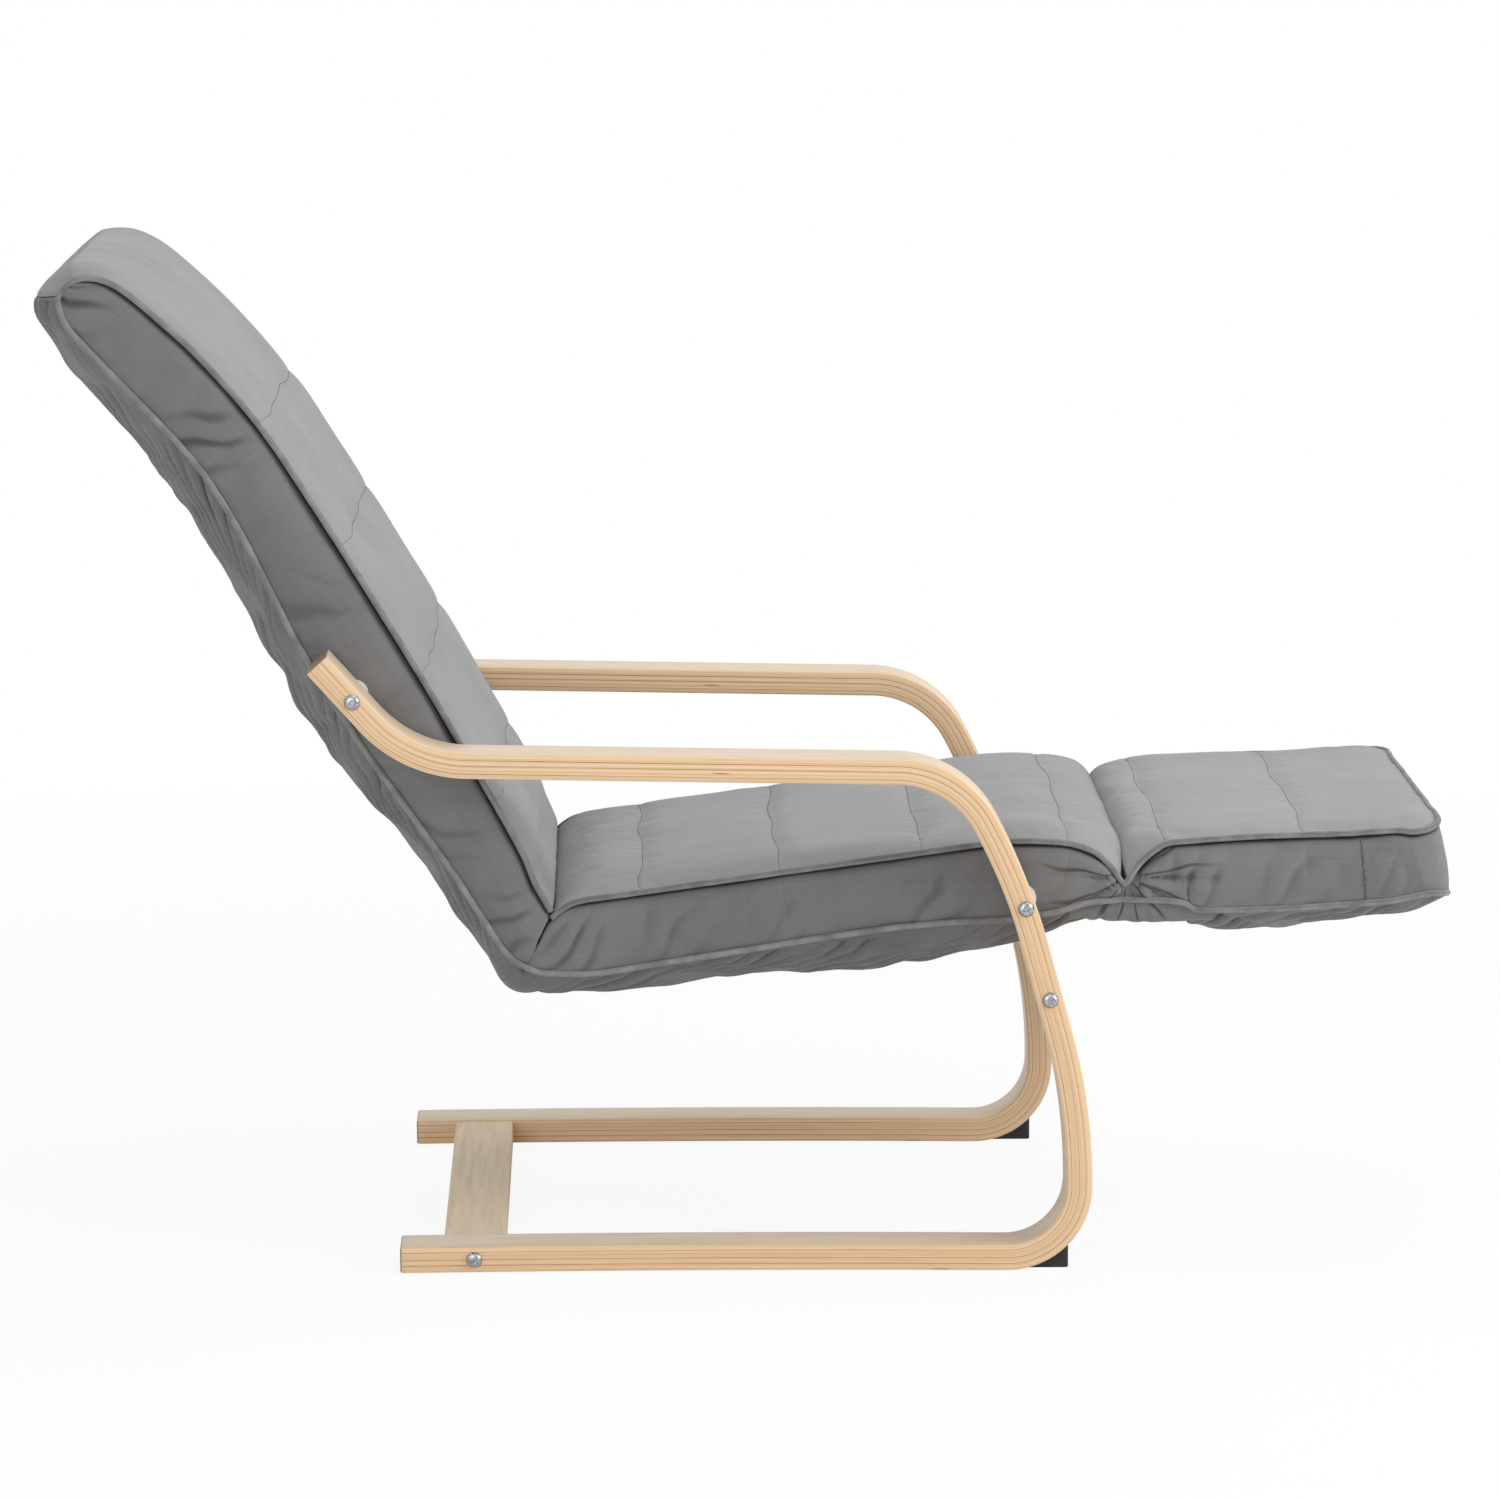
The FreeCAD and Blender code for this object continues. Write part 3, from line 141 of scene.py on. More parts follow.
# Cushions. Each table gives (distance along the tube's line, distance to the sitter's side of it)
# of the front piping, the front in the middle of the width, the rear piping, and the lowest of
# the loose sleeve behind. over: how far the middle bulges past the start and the end. lean: slope
# of the end at the hinge. plan_corner: radius of the corners seen from above, in part.
# cloth_start: where the cushion begins on the cloth, in metres. boxing_seam: a seam up its side.
CUSHIONS = {
    "back": {
        "trace": BACK, "sign": -1, "body": "chair", "nodes": ("back_pad", "back_cover"),
        "front": ((0, 50), (50, 51), (105, 57), (185, 61), (300, 65), (460, 66), (630, 63),
                  (690, 62), (731, 58), (770, 53), (795, 46), (810, 36), (818, 22)),
        "middle": ((0, 56), (50, 59), (105, 66), (185, 71), (300, 75), (460, 76), (630, 73),
                   (690, 72), (731, 69), (770, 64), (795, 56), (810, 43), (818, 27)),
        "rear": ((0, -2), (28, -12), (124, -14), (210, -19), (279, -23), (391, -23), (458, -17),
                 (524, -11), (596, -10), (657, -12), (726, -14), (780, -15), (804, -10), (818, 2)),
        "belly": ((0, -24), (30, -29), (118, -31), (206, -41), (270, -48), (415, -50), (463, -44),
                  (597, -41), (712, -37), (774, -35), (806, -33), (818, -20)),
        "seams": (160, 307, 457, 600), "over": (0, 16), "mitre": True, "lean": 0,
        "plan_corner": 0, "cloth_start": 0, "boxing_seam": None,
    },
    "seat": {
        "trace": SEAT, "sign": 1, "body": "chair", "nodes": ("seat_pad", "seat_cover"),
        "front": ((0, 44), (10, 51), (24, 56), (60, 58), (390, 58), (485, 58), (514, 56),
                  (548, 52), (570, 45), (584, 36), (594, 24), (600, 14)),
        "middle": ((0, 50), (16, 59), (50, 65), (390, 67), (500, 68), (552, 67), (577, 63),
                   (592, 56), (600, 44)),
        "rear": ((0, -6), (72, -18), (133, -17), (356, -13.5), (437, -17), (488, -22), (539, -17),
                 (576, -9), (600, -6)),
        "belly": ((0, -24), (30, -35), (69, -38), (170, -41), (269, -46), (371, -50), (485, -48),
                  (540, -40), (576, -31), (600, -26)),
        "seams": (125, 264, 408, 548), "over": (0, 5), "mitre": True, "lean": -0.35,
        "plan_corner": 0, "cloth_start": 2, "boxing_seam": None,
    },
    "footrest": {
        "trace": FOOTREST, "sign": 1, "body": "footrest", "nodes": ("footrest_pad", "footrest_cover"),
        "front": ((-16, 14), (-8, 27), (6, 40), (28, 51), (108, 52), (209, 49), (280, 49), (308, 46)),
        "middle": ((-16, 43), (-11, 51), (1, 57), (32, 60), (108, 59), (209, 56), (290, 56), (308, 53)),
        "rear": ((-16, -6), (15, -13), (55, -20), (156, -24), (256, -23), (308, -18)),
        "belly": ((-16, -24), (20, -31), (45, -38), (75, -44), (115, -45), (187, -42), (257, -39),
                  (299, -30), (308, -25)),
        "seams": (24, 164), "over": (-5, 1), "mitre": False, "lean": 0.95,
        "plan_corner": 34, "cloth_start": 4, "boxing_seam": 229,
    },
}


def math_node(operation, swapped=False):
    """A method of Value that adds one Math node."""
    def method(self, *others):
        values = (*others, self) if swapped else (self, *others)
        return self.net.node("ShaderNodeMath", *values, operation=operation)
    return method


class Value:
    """A socket that can be used in sums and products, each of which adds a Math node."""

    def __init__(self, net, socket):
        self.net = net
        self.socket = socket

    __add__, __radd__ = math_node("ADD"), math_node("ADD", swapped=True)
    __sub__, __rsub__ = math_node("SUBTRACT"), math_node("SUBTRACT", swapped=True)
    __mul__, __rmul__ = math_node("MULTIPLY"), math_node("MULTIPLY", swapped=True)
    __pow__, __abs__ = math_node("POWER"), math_node("ABSOLUTE")
    sine, sign, floor, fract = (math_node(name) for name in ("SINE", "SIGN", "FLOOR", "FRACT"))
    arctan2, maximum = math_node("ARCTAN2"), math_node("MAXIMUM")

    def other(self, name):
        """Another output of the node that made this value."""
        return Value(self.net, self.socket.node.outputs[name])

    def rise(self, low, high):
        """0 below low and 1 above high, smooth between them."""
        return self.net.node("ShaderNodeMapRange", self, low, high, interpolation_type="SMOOTHSTEP")

    def parts(self):
        made = self.net.node("ShaderNodeSeparateXYZ", self)
        return [made.other(name) for name in "XYZ"]


class Net:
    """A node tree. One call adds a node with its settings, its values and its links."""

    def __init__(self, tree):
        self.tree = tree

    def node(self, kind, *values, out=0, into=None, **settings):
        made = self.tree.nodes.new(kind)
        for name, value in settings.items():
            setattr(made, name, value)
        for key, value in list(enumerate(values)) + list((into or {}).items()):
            self.put(made.inputs[key], value)
        return Value(self, made.outputs[out] if made.outputs else None)

    def put(self, socket, value):
        if isinstance(value, Value):
            self.tree.links.new(value.socket, socket)
        elif value is not None:
            socket.default_value = value

    def vector(self, x, y, z):
        return self.node("ShaderNodeCombineXYZ", x, y, z)

    def place(self):
        return self.node("ShaderNodeTexCoord", out="Object")

    def attribute(self, name, out="Vector"):
        return self.node("ShaderNodeAttribute", out=out, attribute_name=name)

    def noise(self, place, scale, detail=2.0, roughness=0.5):
        return self.node("ShaderNodeTexNoise",
                         into={"Vector": place, "Scale": scale, "Detail": detail, "Roughness": roughness})

    def grain(self, x, y, z, detail=2.0, roughness=0.5):
        """Noise at a place given by its coordinates, which are scaled beforehand."""
        return self.noise(self.vector(x, y, z), 1.0, detail, roughness)

    def store(self, geometry, name, value, kind="FLOAT"):
        return self.node("GeometryNodeStoreNamedAttribute", data_type=kind, domain="POINT",
                         into={"Geometry": geometry, "Name": name, "Value": value})

    def curve(self, geometry, step, **settings):
        """The edges of a mesh as a curve of even steps."""
        curve = self.node("GeometryNodeMeshToCurve", geometry)
        if settings:
            curve = self.node("GeometryNodeCurveSplineType", curve, **settings)
        return self.node("GeometryNodeResampleCurve", mode="LENGTH",
                         into={"Curve": curve, "Length": step})

    def instances(self, points, shape, axis, towards, size=None):
        """A shape on each point, with one of its axes turned to a direction."""
        turn = self.node("FunctionNodeAlignRotationToVector", axis=axis, into={"Vector": towards})
        return self.node("GeometryNodeInstanceOnPoints", into={
            "Points": points, "Instance": shape, "Rotation": turn, "Scale": size})

    def mix(self, share, low, high):
        """A colour between two colours."""
        return self.node("ShaderNodeMix", data_type="RGBA", into={0: share, 6: low, 7: high}, out=2)

    def layers(self, colour, *pairs):
        """A colour with others laid over it, each given as (share, colour)."""
        for share, over in pairs:
            colour = self.mix(share, colour, over)
        return colour


def srgb(red, green, blue):
    """A colour as linear values, from its 0 to 255 values on a screen."""
    parts = []
    for value in (red, green, blue):
        share = value / 255
        parts.append(share / 12.92 if share <= 0.04045 else ((share + 0.055) / 1.055) ** 2.4)
    return (*parts, 1.0)


def grey(value):
    return srgb(value, value, value + 1)


def blank_material(name):
    """A new material, its net and its Principled node."""
    made = bpy.data.materials.new(name)
    made.use_nodes = True
    return made, Net(made.node_tree), made.node_tree.nodes["Principled BSDF"]


def material(name, paint, **constants):
    """A Principled material. paint(net) gives its colour, roughness and height in metres."""
    made, net, shader = blank_material(name)
    colour, rough, height = paint(net)
    net.put(shader.inputs["Base Color"], colour)
    net.put(shader.inputs["Roughness"], rough)
    for key, value in constants.items():
        shader.inputs[key.replace("_", " ")].default_value = value
    bump = net.node("ShaderNodeBump", into={"Height": height, "Distance": 1.0})
    net.put(shader.inputs["Normal"], bump)
    return made


def pulled_pleats(net, kind):
    """Mask of the pleats on the sides that run to the notch over the hinge, painted dark as shade in the
    cotton.
    """
    x, y, z = net.place().parts()
    dx, dz = x - (NOTCH[0] - ORIGIN_X) * MM, z - NOTCH[1] * MM
    reach = (dx * dx + dz * dz) ** 0.5
    turn = dz.arctan2(dx)
    bent = net.grain(turn * 1.3, reach * 9.0, 2.0)
    pleat = abs((turn * 6.5 + bent * 5.0).sine()).rise(0.0, 0.34)
    near = reach.rise(0.008, 0.02) * (1.0 - reach.rise(0.05, 0.105)) * abs(y).rise(0.25, 0.262)
    return near * kind.rise(0.6, 0.9) * (1.0 - pleat)


def cotton(net):
    """Grey cotton: fine streaks along the warp, soft puckers, folds in the sleeve and a plain weave, with
    painted light: lighter top panels, darker sides and sleeve, painted shade in the groove, folds and
    pleats, and a painted highlight on fold ridges.
    """
    along, across, kind = net.attribute("cloth").parts()
    warp = net.grain(along * 9.0, across * 900.0, kind, 3.0, 0.6)
    weft = net.grain(along * 900.0, across * 9.0, kind, 2.0, 0.6)
    broad = net.noise(net.place(), 7.0, 3.0, 0.55)
    tone = 0.3 * warp + 0.22 * weft + 0.48 * broad
    # Painted light: the top panels get the lighter greys and the sides and sleeve the darker greys, lit and
    # shaded copies of one cloth.
    beside = kind.rise(0.1, 0.9)
    colour = net.mix(tone.rise(0.3, 0.7), net.mix(beside, grey(141), grey(103)),
                     net.mix(beside, grey(158), grey(119)))
    # depth: how deep the point lies in its fold; below it paints shade in the valleys and a highlight on the
    # ridges.
    depth = net.attribute("depth", "Fac")
    # pulled marks the pleats that run to the notch; below they are painted dark as shade and dented as a
    # bump.
    pulled = pulled_pleats(net, kind)
    # Painted shade: a dark band in the groove row under the front piping (kind 0.5).
    groove = 1.0 - (abs(kind - 0.5) * 2.0).rise(0.2, 0.95)
    # behind marks the sleeve, which is painted darker overall as shade; it also places the sleeve folds.
    behind = kind.rise(1.6, 1.95)
    # fold and where: folds in the sleeve near the rear piping; below, their valleys get painted shade and
    # they are raised as a bump.
    from_piping = HALF_WIDTH * MM - abs(across)
    bend = net.grain(along * 11.0, across * 9.0, 3.0)
    fold = abs(((along + from_piping * 1.7) * 80.0 + bend * 11.0).sine()).rise(0.0, 0.6)
    where = net.grain(along * 15.0, across * 20.0, 8.0, 1.0).rise(0.4, 0.62)
    where = where * (1.0 - from_piping.rise(0.05, 0.14)) * behind
    colour = net.layers(colour, (depth.rise(0.5, 4.0) * 0.7, grey(52)),
                        ((0.0 - depth).rise(1.0, 5.0) * 0.16, grey(165)), (pulled * 0.75, grey(34)),
                        (groove, grey(26)), (behind * 0.16, grey(70)),
                        ((1.0 - fold) * where * 0.14, grey(60)))
    weave = (along * 6300.0).sine() * (across * 6300.0).sine()
    crumple = net.grain(along * 30.0, across * 30.0, kind, 3.0, 0.55)
    ripple = net.grain(along * 7.0, across * 130.0, kind)
    height = weave * 0.00004 + warp * 0.00006 + weft * 0.00005 + crumple * 0.0012 + ripple * 0.0006
    return colour, 0.9 - 0.08 * warp, height + fold * where * 0.0009 - pulled * 0.002


def cord_cover(net):
    run, around, _ = net.attribute("cloth").parts()
    twill = (run * 2600.0 + around * 2600.0).sine()
    broad = net.noise(net.place(), 45.0, 3.0, 0.55)
    colour = net.mix(broad.rise(0.3, 0.7), grey(112), grey(138))
    return colour, 0.9 - 0.06 * broad, twill * 0.00007 + broad * 0.0006


def thread(net):
    twist = (net.place().parts()[1] * 9000.0).sine()
    return net.mix(twist.rise(-0.5, 0.9), grey(64), grey(112)), 0.7, twist * 0.00003


def birch_laminate(net):
    """Birch laminate: cream faces with fine grain, and brown glue lines along the edges."""
    along, ply, y = net.attribute("wood").parts()
    on_face = (abs(ply - 0.5)).rise(0.465, 0.488)
    wander = net.grain(along * 1.6, ply * 2.0, y * 3.0) - 0.5
    level = ply + wander * 0.028
    layer = level * 11.0
    shade = net.grain(layer.floor() * 7.31, along * 0.9, 0.0, 1.0)
    fibre = net.grain(along * 26.0, level * 46.0, y * 60.0, 4.0, 0.65)
    streak = net.grain(along * 7.0, level * 30.0, y * 20.0, 3.0, 0.6)
    wood = net.layers(srgb(220, 186, 146), (shade.rise(0.3, 0.7), srgb(234, 206, 168)),
                      (streak.rise(0.42, 0.75) * 0.55, srgb(208, 164, 116)))
    glue = 1.0 - abs(layer.fract() - 0.5).rise(0.4, 0.5) * 0.2
    fade = net.grain(along * 5.0, ply * 9.0, y).rise(0.3, 0.62) * 0.45 + 0.55
    for middle, half, strength in ((0.2, 0.015, 0.9), (0.33, 0.008, 0.4), (0.5, 0.018, 0.8),
                                   (0.57, 0.008, 0.4), (0.72, 0.017, 0.95), (0.87, 0.008, 0.35)):
        line = (1.0 - abs(level - middle).rise(half * 0.3, half * 1.3)) * fade
        glue = glue * (1.0 - line * strength)
    edge = net.layers(srgb(152, 98, 56), (glue, wood), (fibre.rise(0.5, 0.8) * 0.3, srgb(196, 150, 104)))
    spot = net.node("ShaderNodeTexVoronoi", into={
        "Vector": net.vector(along * 4.2, level * 2.4, y * 6.0), "Scale": 1.0})
    edge = net.mix(spot.rise(0.02, 0.06), srgb(104, 66, 40), edge)
    grain = net.grain(along * 6.0, ply, y * 240.0, 5.0, 0.62)
    cloud = net.grain(along * 3.0, ply, y * 24.0)
    face = net.layers(srgb(230, 209, 180), (grain.rise(0.36, 0.72), srgb(215, 187, 151)),
                      (cloud.rise(0.3, 0.8) * 0.4, srgb(221, 198, 168)))
    height = grain * 0.00005 + fibre * 0.0001 + glue * 0.0001
    pores = net.grain(0.0, level * 60.0, y * 900.0, 3.0, 0.6)
    end_grain = net.mix(pores.rise(0.3, 0.7), srgb(122, 98, 82), srgb(166, 138, 114))
    at_end = along.rise(FRAME.length * MM - 0.002, FRAME.length * MM - 0.0008)
    at_end = at_end + 1.0 - along.rise(0.0008, 0.002)
    return net.layers(edge, (on_face, face), (at_end, end_grain)), 0.36 + 0.14 * fibre, height


def birch_plank(net):
    x, y, z = net.place().parts()
    grain = net.grain(x * 170.0, y * 7.0, z * 170.0, 5.0, 0.6)
    cloud = net.grain(x * 22.0, y * 3.0, z * 22.0)
    colour = net.layers(srgb(238, 214, 178), (grain.rise(0.32, 0.72), srgb(222, 192, 152)),
                        (cloud.rise(0.3, 0.8) * 0.3, srgb(224, 196, 158)))
    return colour, 0.4 + 0.12 * grain, grain * 0.00006


def zinc(net):
    blotch = net.noise(net.place(), 500.0, 3.0, 0.6)
    fine = net.noise(net.place(), 2600.0, 2.0, 0.5)
    colour = net.mix(blotch.rise(0.3, 0.7), (0.24, 0.26, 0.29, 1.0), (0.58, 0.6, 0.62, 1.0))
    return colour, 0.16 + 0.14 * blotch, fine * 0.00001


def speckled(scale, detail, roughness, low, high, rough, height):
    """A plain finish of two colours in fine spots. rough is its least value and its rise."""
    def paint(net):
        spots = net.noise(net.place(), scale, detail, roughness)
        return net.mix(spots, low, high), rough[0] + rough[1] * spots, spots * height
    return paint


def elastic_webbing(net):
    x, y, z = net.place().parts()
    rib, cord = (y * 1500.0).sine(), ((x + z) * 1800.0).sine()
    return (net.mix(cord.rise(-0.6, 0.8), grey(28), grey(60)), 0.8 + 0.05 * rib,
            rib * 0.0001 + cord * 0.00012)


COTTON = material("grey_cotton", cotton, Sheen_Weight=0.2, Sheen_Roughness=0.45)
CORD_COVER = material("piping_cotton", cord_cover, Sheen_Weight=0.2, Sheen_Roughness=0.45)
THREAD = material("grey_thread", thread)
LAMINATE = material("birch_laminate", birch_laminate, Coat_Weight=0.15, Coat_Roughness=0.2)
PLANK = material("birch_plank", birch_plank, Coat_Weight=0.1, Coat_Roughness=0.3)
ZINC = material("zinc_steel", zinc, Metallic=1.0)
ENAMEL = material("black_enamel", speckled(900.0, 2.0, 0.5, (0.018, 0.018, 0.02, 1.0),
                                           (0.03, 0.03, 0.032, 1.0), (0.38, 0.12), 0.00003))
NYLON = material("white_nylon", speckled(300.0, 2.0, 0.5, srgb(214, 214, 210), srgb(230, 230, 226),
                                         (0.42, 0.1), 0.00002))
RUBBER = material("black_rubber", speckled(1500.0, 3.0, 0.6, grey(20), grey(36), (0.62, 0.15), 0.00008))
WEBBING = material("elastic_webbing", elastic_webbing)
CAD_FINISH = {"birch": PLANK, "zinc_steel": ZINC, "coated_steel": ENAMEL, "white_plastic": NYLON,
              "black_rubber": RUBBER, "webbing": WEBBING, "grey_fabric": COTTON}


def finish_cad_nodes():
    for part in frame["record"]["subparts"]:
        node = frame["nodes"][part["node"]]
        node.data.materials.clear()
        node.data.materials.append(CAD_FINISH[part["material_slot"]])


def link(name, data):
    """An object in the scene with the given mesh, camera or light."""
    made = bpy.data.objects.new(name, data)
    bpy.context.scene.collection.objects.link(made)
    return made


def add_mesh(name, points, faces, finish=None):
    mesh = bpy.data.meshes.new(name)
    mesh.from_pydata([tuple(p) for p in points], [], faces)
    mesh.update()
    mesh.polygons.foreach_set("use_smooth", [True] * len(mesh.polygons))
    if finish:
        mesh.materials.append(finish)
    return link(name, mesh)


def tube_faces(rows, count):
    """Faces of a closed tube of rings, with its ends closed."""
    faces = []
    for n in range(rows - 1):
        for m in range(count):
            a, b = n * count + m, n * count + (m + 1) % count
            faces.append((a, b, b + count, a + count))
    last = (rows - 1) * count
    return faces + [tuple(range(count))[::-1], tuple(range(last, last + count))]


def set_layer(piece, name, values, kind="FLOAT_VECTOR", field="vector"):
    """Gives each point of a piece its own value or vector."""
    layer = piece.data.attributes.new(name, kind, "POINT")
    layer.data.foreach_set(field, np.asarray(values, float).ravel())


def coordinates(piece):
    found = np.empty(len(piece.data.vertices) * 3)
    piece.data.vertices.foreach_get("co", found)
    return found.reshape(-1, 3)


def keep_result(piece):
    """Turns what the piece's modifiers make into its plain mesh."""
    graph = bpy.context.evaluated_depsgraph_get()
    mesh = bpy.data.meshes.new_from_object(piece.evaluated_get(graph))
    old = piece.data
    piece.modifiers.clear()
    piece.data = mesh
    bpy.data.meshes.remove(old)
    mesh.polygons.foreach_set("use_smooth", [True] * len(mesh.polygons))
    return piece


# Geometry Nodes

def geometry_tree(name, inputs):
    """A node tree with named inputs; gives the net and the values of its inputs."""
    tree = bpy.data.node_groups.new(name, "GeometryNodeTree")
    tree.interface.new_socket("Geometry", in_out="OUTPUT", socket_type="NodeSocketGeometry")
    tree.interface.new_socket("Geometry", in_out="INPUT", socket_type="NodeSocketGeometry")
    for label, kind in inputs:
        tree.interface.new_socket(label, in_out="INPUT", socket_type="NodeSocket" + kind)
    net = Net(tree)
    first = net.node("NodeGroupInput")
    return net, {label: first.other(label) for label in ["Geometry"] + [i[0] for i in inputs]}


def finish_tree(net, geometry, finish):
    solid = net.node("GeometryNodeRealizeInstances", geometry)
    painted = net.node("GeometryNodeSetMaterial", into={"Geometry": solid, "Material": finish})
    net.node("NodeGroupOutput", painted)
    return net.tree


def piping_tree():
    """A round cord along the edges of a mesh, smoothed, with its run and turn as coordinates."""
    net, given = geometry_tree("piping", (("Radius", "Float"), ("Spacing", "Float"),
                                          ("Unevenness", "Float"), ("Cover", "Material")))
    curve = net.curve(given["Geometry"], given["Spacing"], spline_type="CATMULL_ROM")
    place = net.node("GeometryNodeInputPosition")
    uneven = net.node("ShaderNodeTexNoise", into={"Vector": place, "Scale": 60.0})
    radius = given["Radius"] * (1.0 + (uneven - 0.5) * given["Unevenness"])
    curve = net.store(curve, "run", net.node("GeometryNodeSplineParameter", out="Length"))
    ring = net.node("GeometryNodeCurvePrimitiveCircle", into={"Resolution": 10, "Radius": 1.0})
    ring = net.store(ring, "turn", net.node("GeometryNodeSplineParameter", out="Factor"))
    tube = net.node("GeometryNodeCurveToMesh", into={"Curve": curve, "Profile Curve": ring,
                                                     "Scale": radius, "Fill Caps": True})
    run, turn = (net.node("GeometryNodeInputNamedAttribute", data_type="FLOAT", into={"Name": name})
                 for name in ("run", "turn"))
    girth = turn * given["Radius"] * (2 * math.pi)
    tube = net.store(tube, "cloth", net.vector(run, girth, 0.0), "FLOAT_VECTOR")
    return finish_tree(net, tube, given["Cover"])


def stitch_tree():
    """Short stitches at equal steps along the edges of a mesh."""
    net, given = geometry_tree("stitches", (("Pitch", "Float"), ("Length", "Float"),
                                            ("Width", "Float"), ("Thread", "Material")))
    curve = net.curve(given["Geometry"], given["Pitch"])
    grain = net.node("GeometryNodeMeshIcoSphere", into={"Radius": 0.5, "Subdivisions": 1})
    size = net.vector(given["Length"], given["Width"], given["Width"])
    made = net.instances(curve, grain, "X", net.node("GeometryNodeInputTangent"), size)
    return finish_tree(net, made, given["Thread"])


def laminate_tree():
    """A rectangular section swept along the edges of a mesh."""
    net, given = geometry_tree("laminate", (("Width", "Float"), ("Thickness", "Float"),
                                            ("Wood", "Material")))
    curve = net.node("GeometryNodeMeshToCurve", given["Geometry"])
    section = net.node("GeometryNodeCurvePrimitiveQuadrilateral",
                       into={"Width": given["Width"], "Height": given["Thickness"]})
    swept = net.node("GeometryNodeCurveToMesh", into={"Curve": curve, "Profile Curve": section,
                                                      "Fill Caps": True})
    return finish_tree(net, swept, given["Wood"])


def fastener_tree():
    """A fastener on each point of a mesh, with its head turned away from the chair's middle."""
    net, given = geometry_tree("fasteners", (("Fastener", "Object"), ("Metal", "Material")))
    shape = net.node("GeometryNodeObjectInfo", into={"Object": given["Fastener"]}, out="Geometry")
    side = net.node("GeometryNodeInputPosition").parts()[1].sign()
    made = net.instances(given["Geometry"], shape, "Z", net.vector(0.0, side, 0.0))
    return finish_tree(net, made, given["Metal"])


def grow(name, chains, tree, bevel=0.0, **inputs):
    """Builds a piece with a node tree on chains of points, and eases its edges by the bevel."""
    points, edges = [], []
    for chain in chains:
        edges += [(len(points) + n, len(points) + n + 1) for n in range(len(chain) - 1)]
        points += [tuple(p) for p in chain]
    mesh = bpy.data.meshes.new(name)
    mesh.from_pydata(points, edges, [])
    piece = link(name, mesh)
    grower = piece.modifiers.new("grow", "NODES")
    grower.node_group = tree
    for item in tree.interface.items_tree:
        if item.in_out == "INPUT" and item.name in inputs:
            grower[item.identifier] = inputs[item.name]
    if bevel:
        eased = piece.modifiers.new("eased_edges", "BEVEL")
        eased.width = bevel
        eased.segments = 3
        eased.limit_method = "ANGLE"
        eased.angle_limit = math.radians(50.0)
    return keep_result(piece)


PIPING = piping_tree()
STITCHES = stitch_tree()
LAMINATE_SWEEP = laminate_tree()
FASTENERS = fastener_tree()


# Bentwood and bolts

def side_frame(word, side):
    """Bent laminate side: base rail, leg, arm and raised tail."""
    stations = [0.0]
    while stations[-1] < FRAME.length - 6.0:
        bend = next(s[1] for s in reversed(FRAME.steps) if s[0] <= stations[-1])
        stations.append(stations[-1] + (BEND_STEP if abs(bend) > 0.005 else FRAME_STEP))
    stations = [s for s in stations if s < FRAME.length - 3.0] + [FRAME.length]
    middle_y = side * (FRAME_INNER_Y + FRAME_WIDTH / 2)
    chain = [FRAME.at(s, 0.0, middle_y) for s in stations]
    piece = grow("bentwood_side_" + word, [chain], LAMINATE_SWEEP, FRAME_EDGE * MM,
                 Width=FRAME_WIDTH * MM, Thickness=FRAME_THICKNESS * MM, Wood=LAMINATE)
    here = coordinates(piece) / MM
    fine = np.arange(0.0, FRAME.length, 1.5)
    walked = np.array([FRAME.walk(s) for s in fine])
    dx, dz = here[:, :1] + ORIGIN_X - walked[:, 0], here[:, 2:] - walked[:, 1]
    best = np.argmin(dx * dx + dz * dz, axis=1)
    dx, dz, heading = dx[np.arange(len(here)), best], dz[np.arange(len(here)), best], walked[best, 2]
    run = (fine[best] + dx * np.cos(heading) + dz * np.sin(heading)) * MM
    ply = 0.5 - (dz * np.cos(heading) - dx * np.sin(heading)) / FRAME_THICKNESS
    set_layer(piece, "wood", np.stack((run, ply, (here[:, 1] - middle_y) * MM), 1))
    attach(piece, "chair")
    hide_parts("side_frame_" + word)


HEAD_RADIUS, HEAD_HEIGHT, HEAD_RIM = 8.0, 4.5, 0.9
SOCKET, SOCKET_DEPTH, SHANK_RADIUS = 4.4, 3.0, 3.0


def bolt_shape(name, length):
    """Button head bolt along Z, with a hexagon socket and its underside at the origin."""
    around, socket_floor = 48, HEAD_HEIGHT - SOCKET_DEPTH
    rings = [(0.1 * SOCKET, socket_floor, True), (0.5 * SOCKET, socket_floor, True),
             (0.5 * SOCKET, HEAD_HEIGHT - 0.35, True), (0.59 * SOCKET, HEAD_HEIGHT, False)]
    for share in (0.55, 0.7, 0.83, 0.93, 0.985, 1.0):
        fall = (2.0 * share - 1.0) ** 2.4
        rings.append((share * HEAD_RADIUS, HEAD_HEIGHT * (1.0 - fall) + HEAD_RIM * fall, False))
    rings += [(HEAD_RADIUS, 0.25, False), (0.97 * HEAD_RADIUS, 0.0, False), (SHANK_RADIUS, 0.0, False),
              (SHANK_RADIUS, 0.8 - length, False), (0.75 * SHANK_RADIUS, -length, False)]
    points = []
    for radius, height, six in rings:
        for n in range(around):
            angle = 2 * math.pi * n / around
            swing = (angle + math.pi / 6) % (math.pi / 3) - math.pi / 6
            reach = radius / math.cos(swing) if six else radius
            points.append(Vector((reach * math.cos(angle), reach * math.sin(angle), height)) * MM)
    return add_mesh(name, points, [f[:1] + f[:0:-1] for f in tube_faces(len(rings), around)])


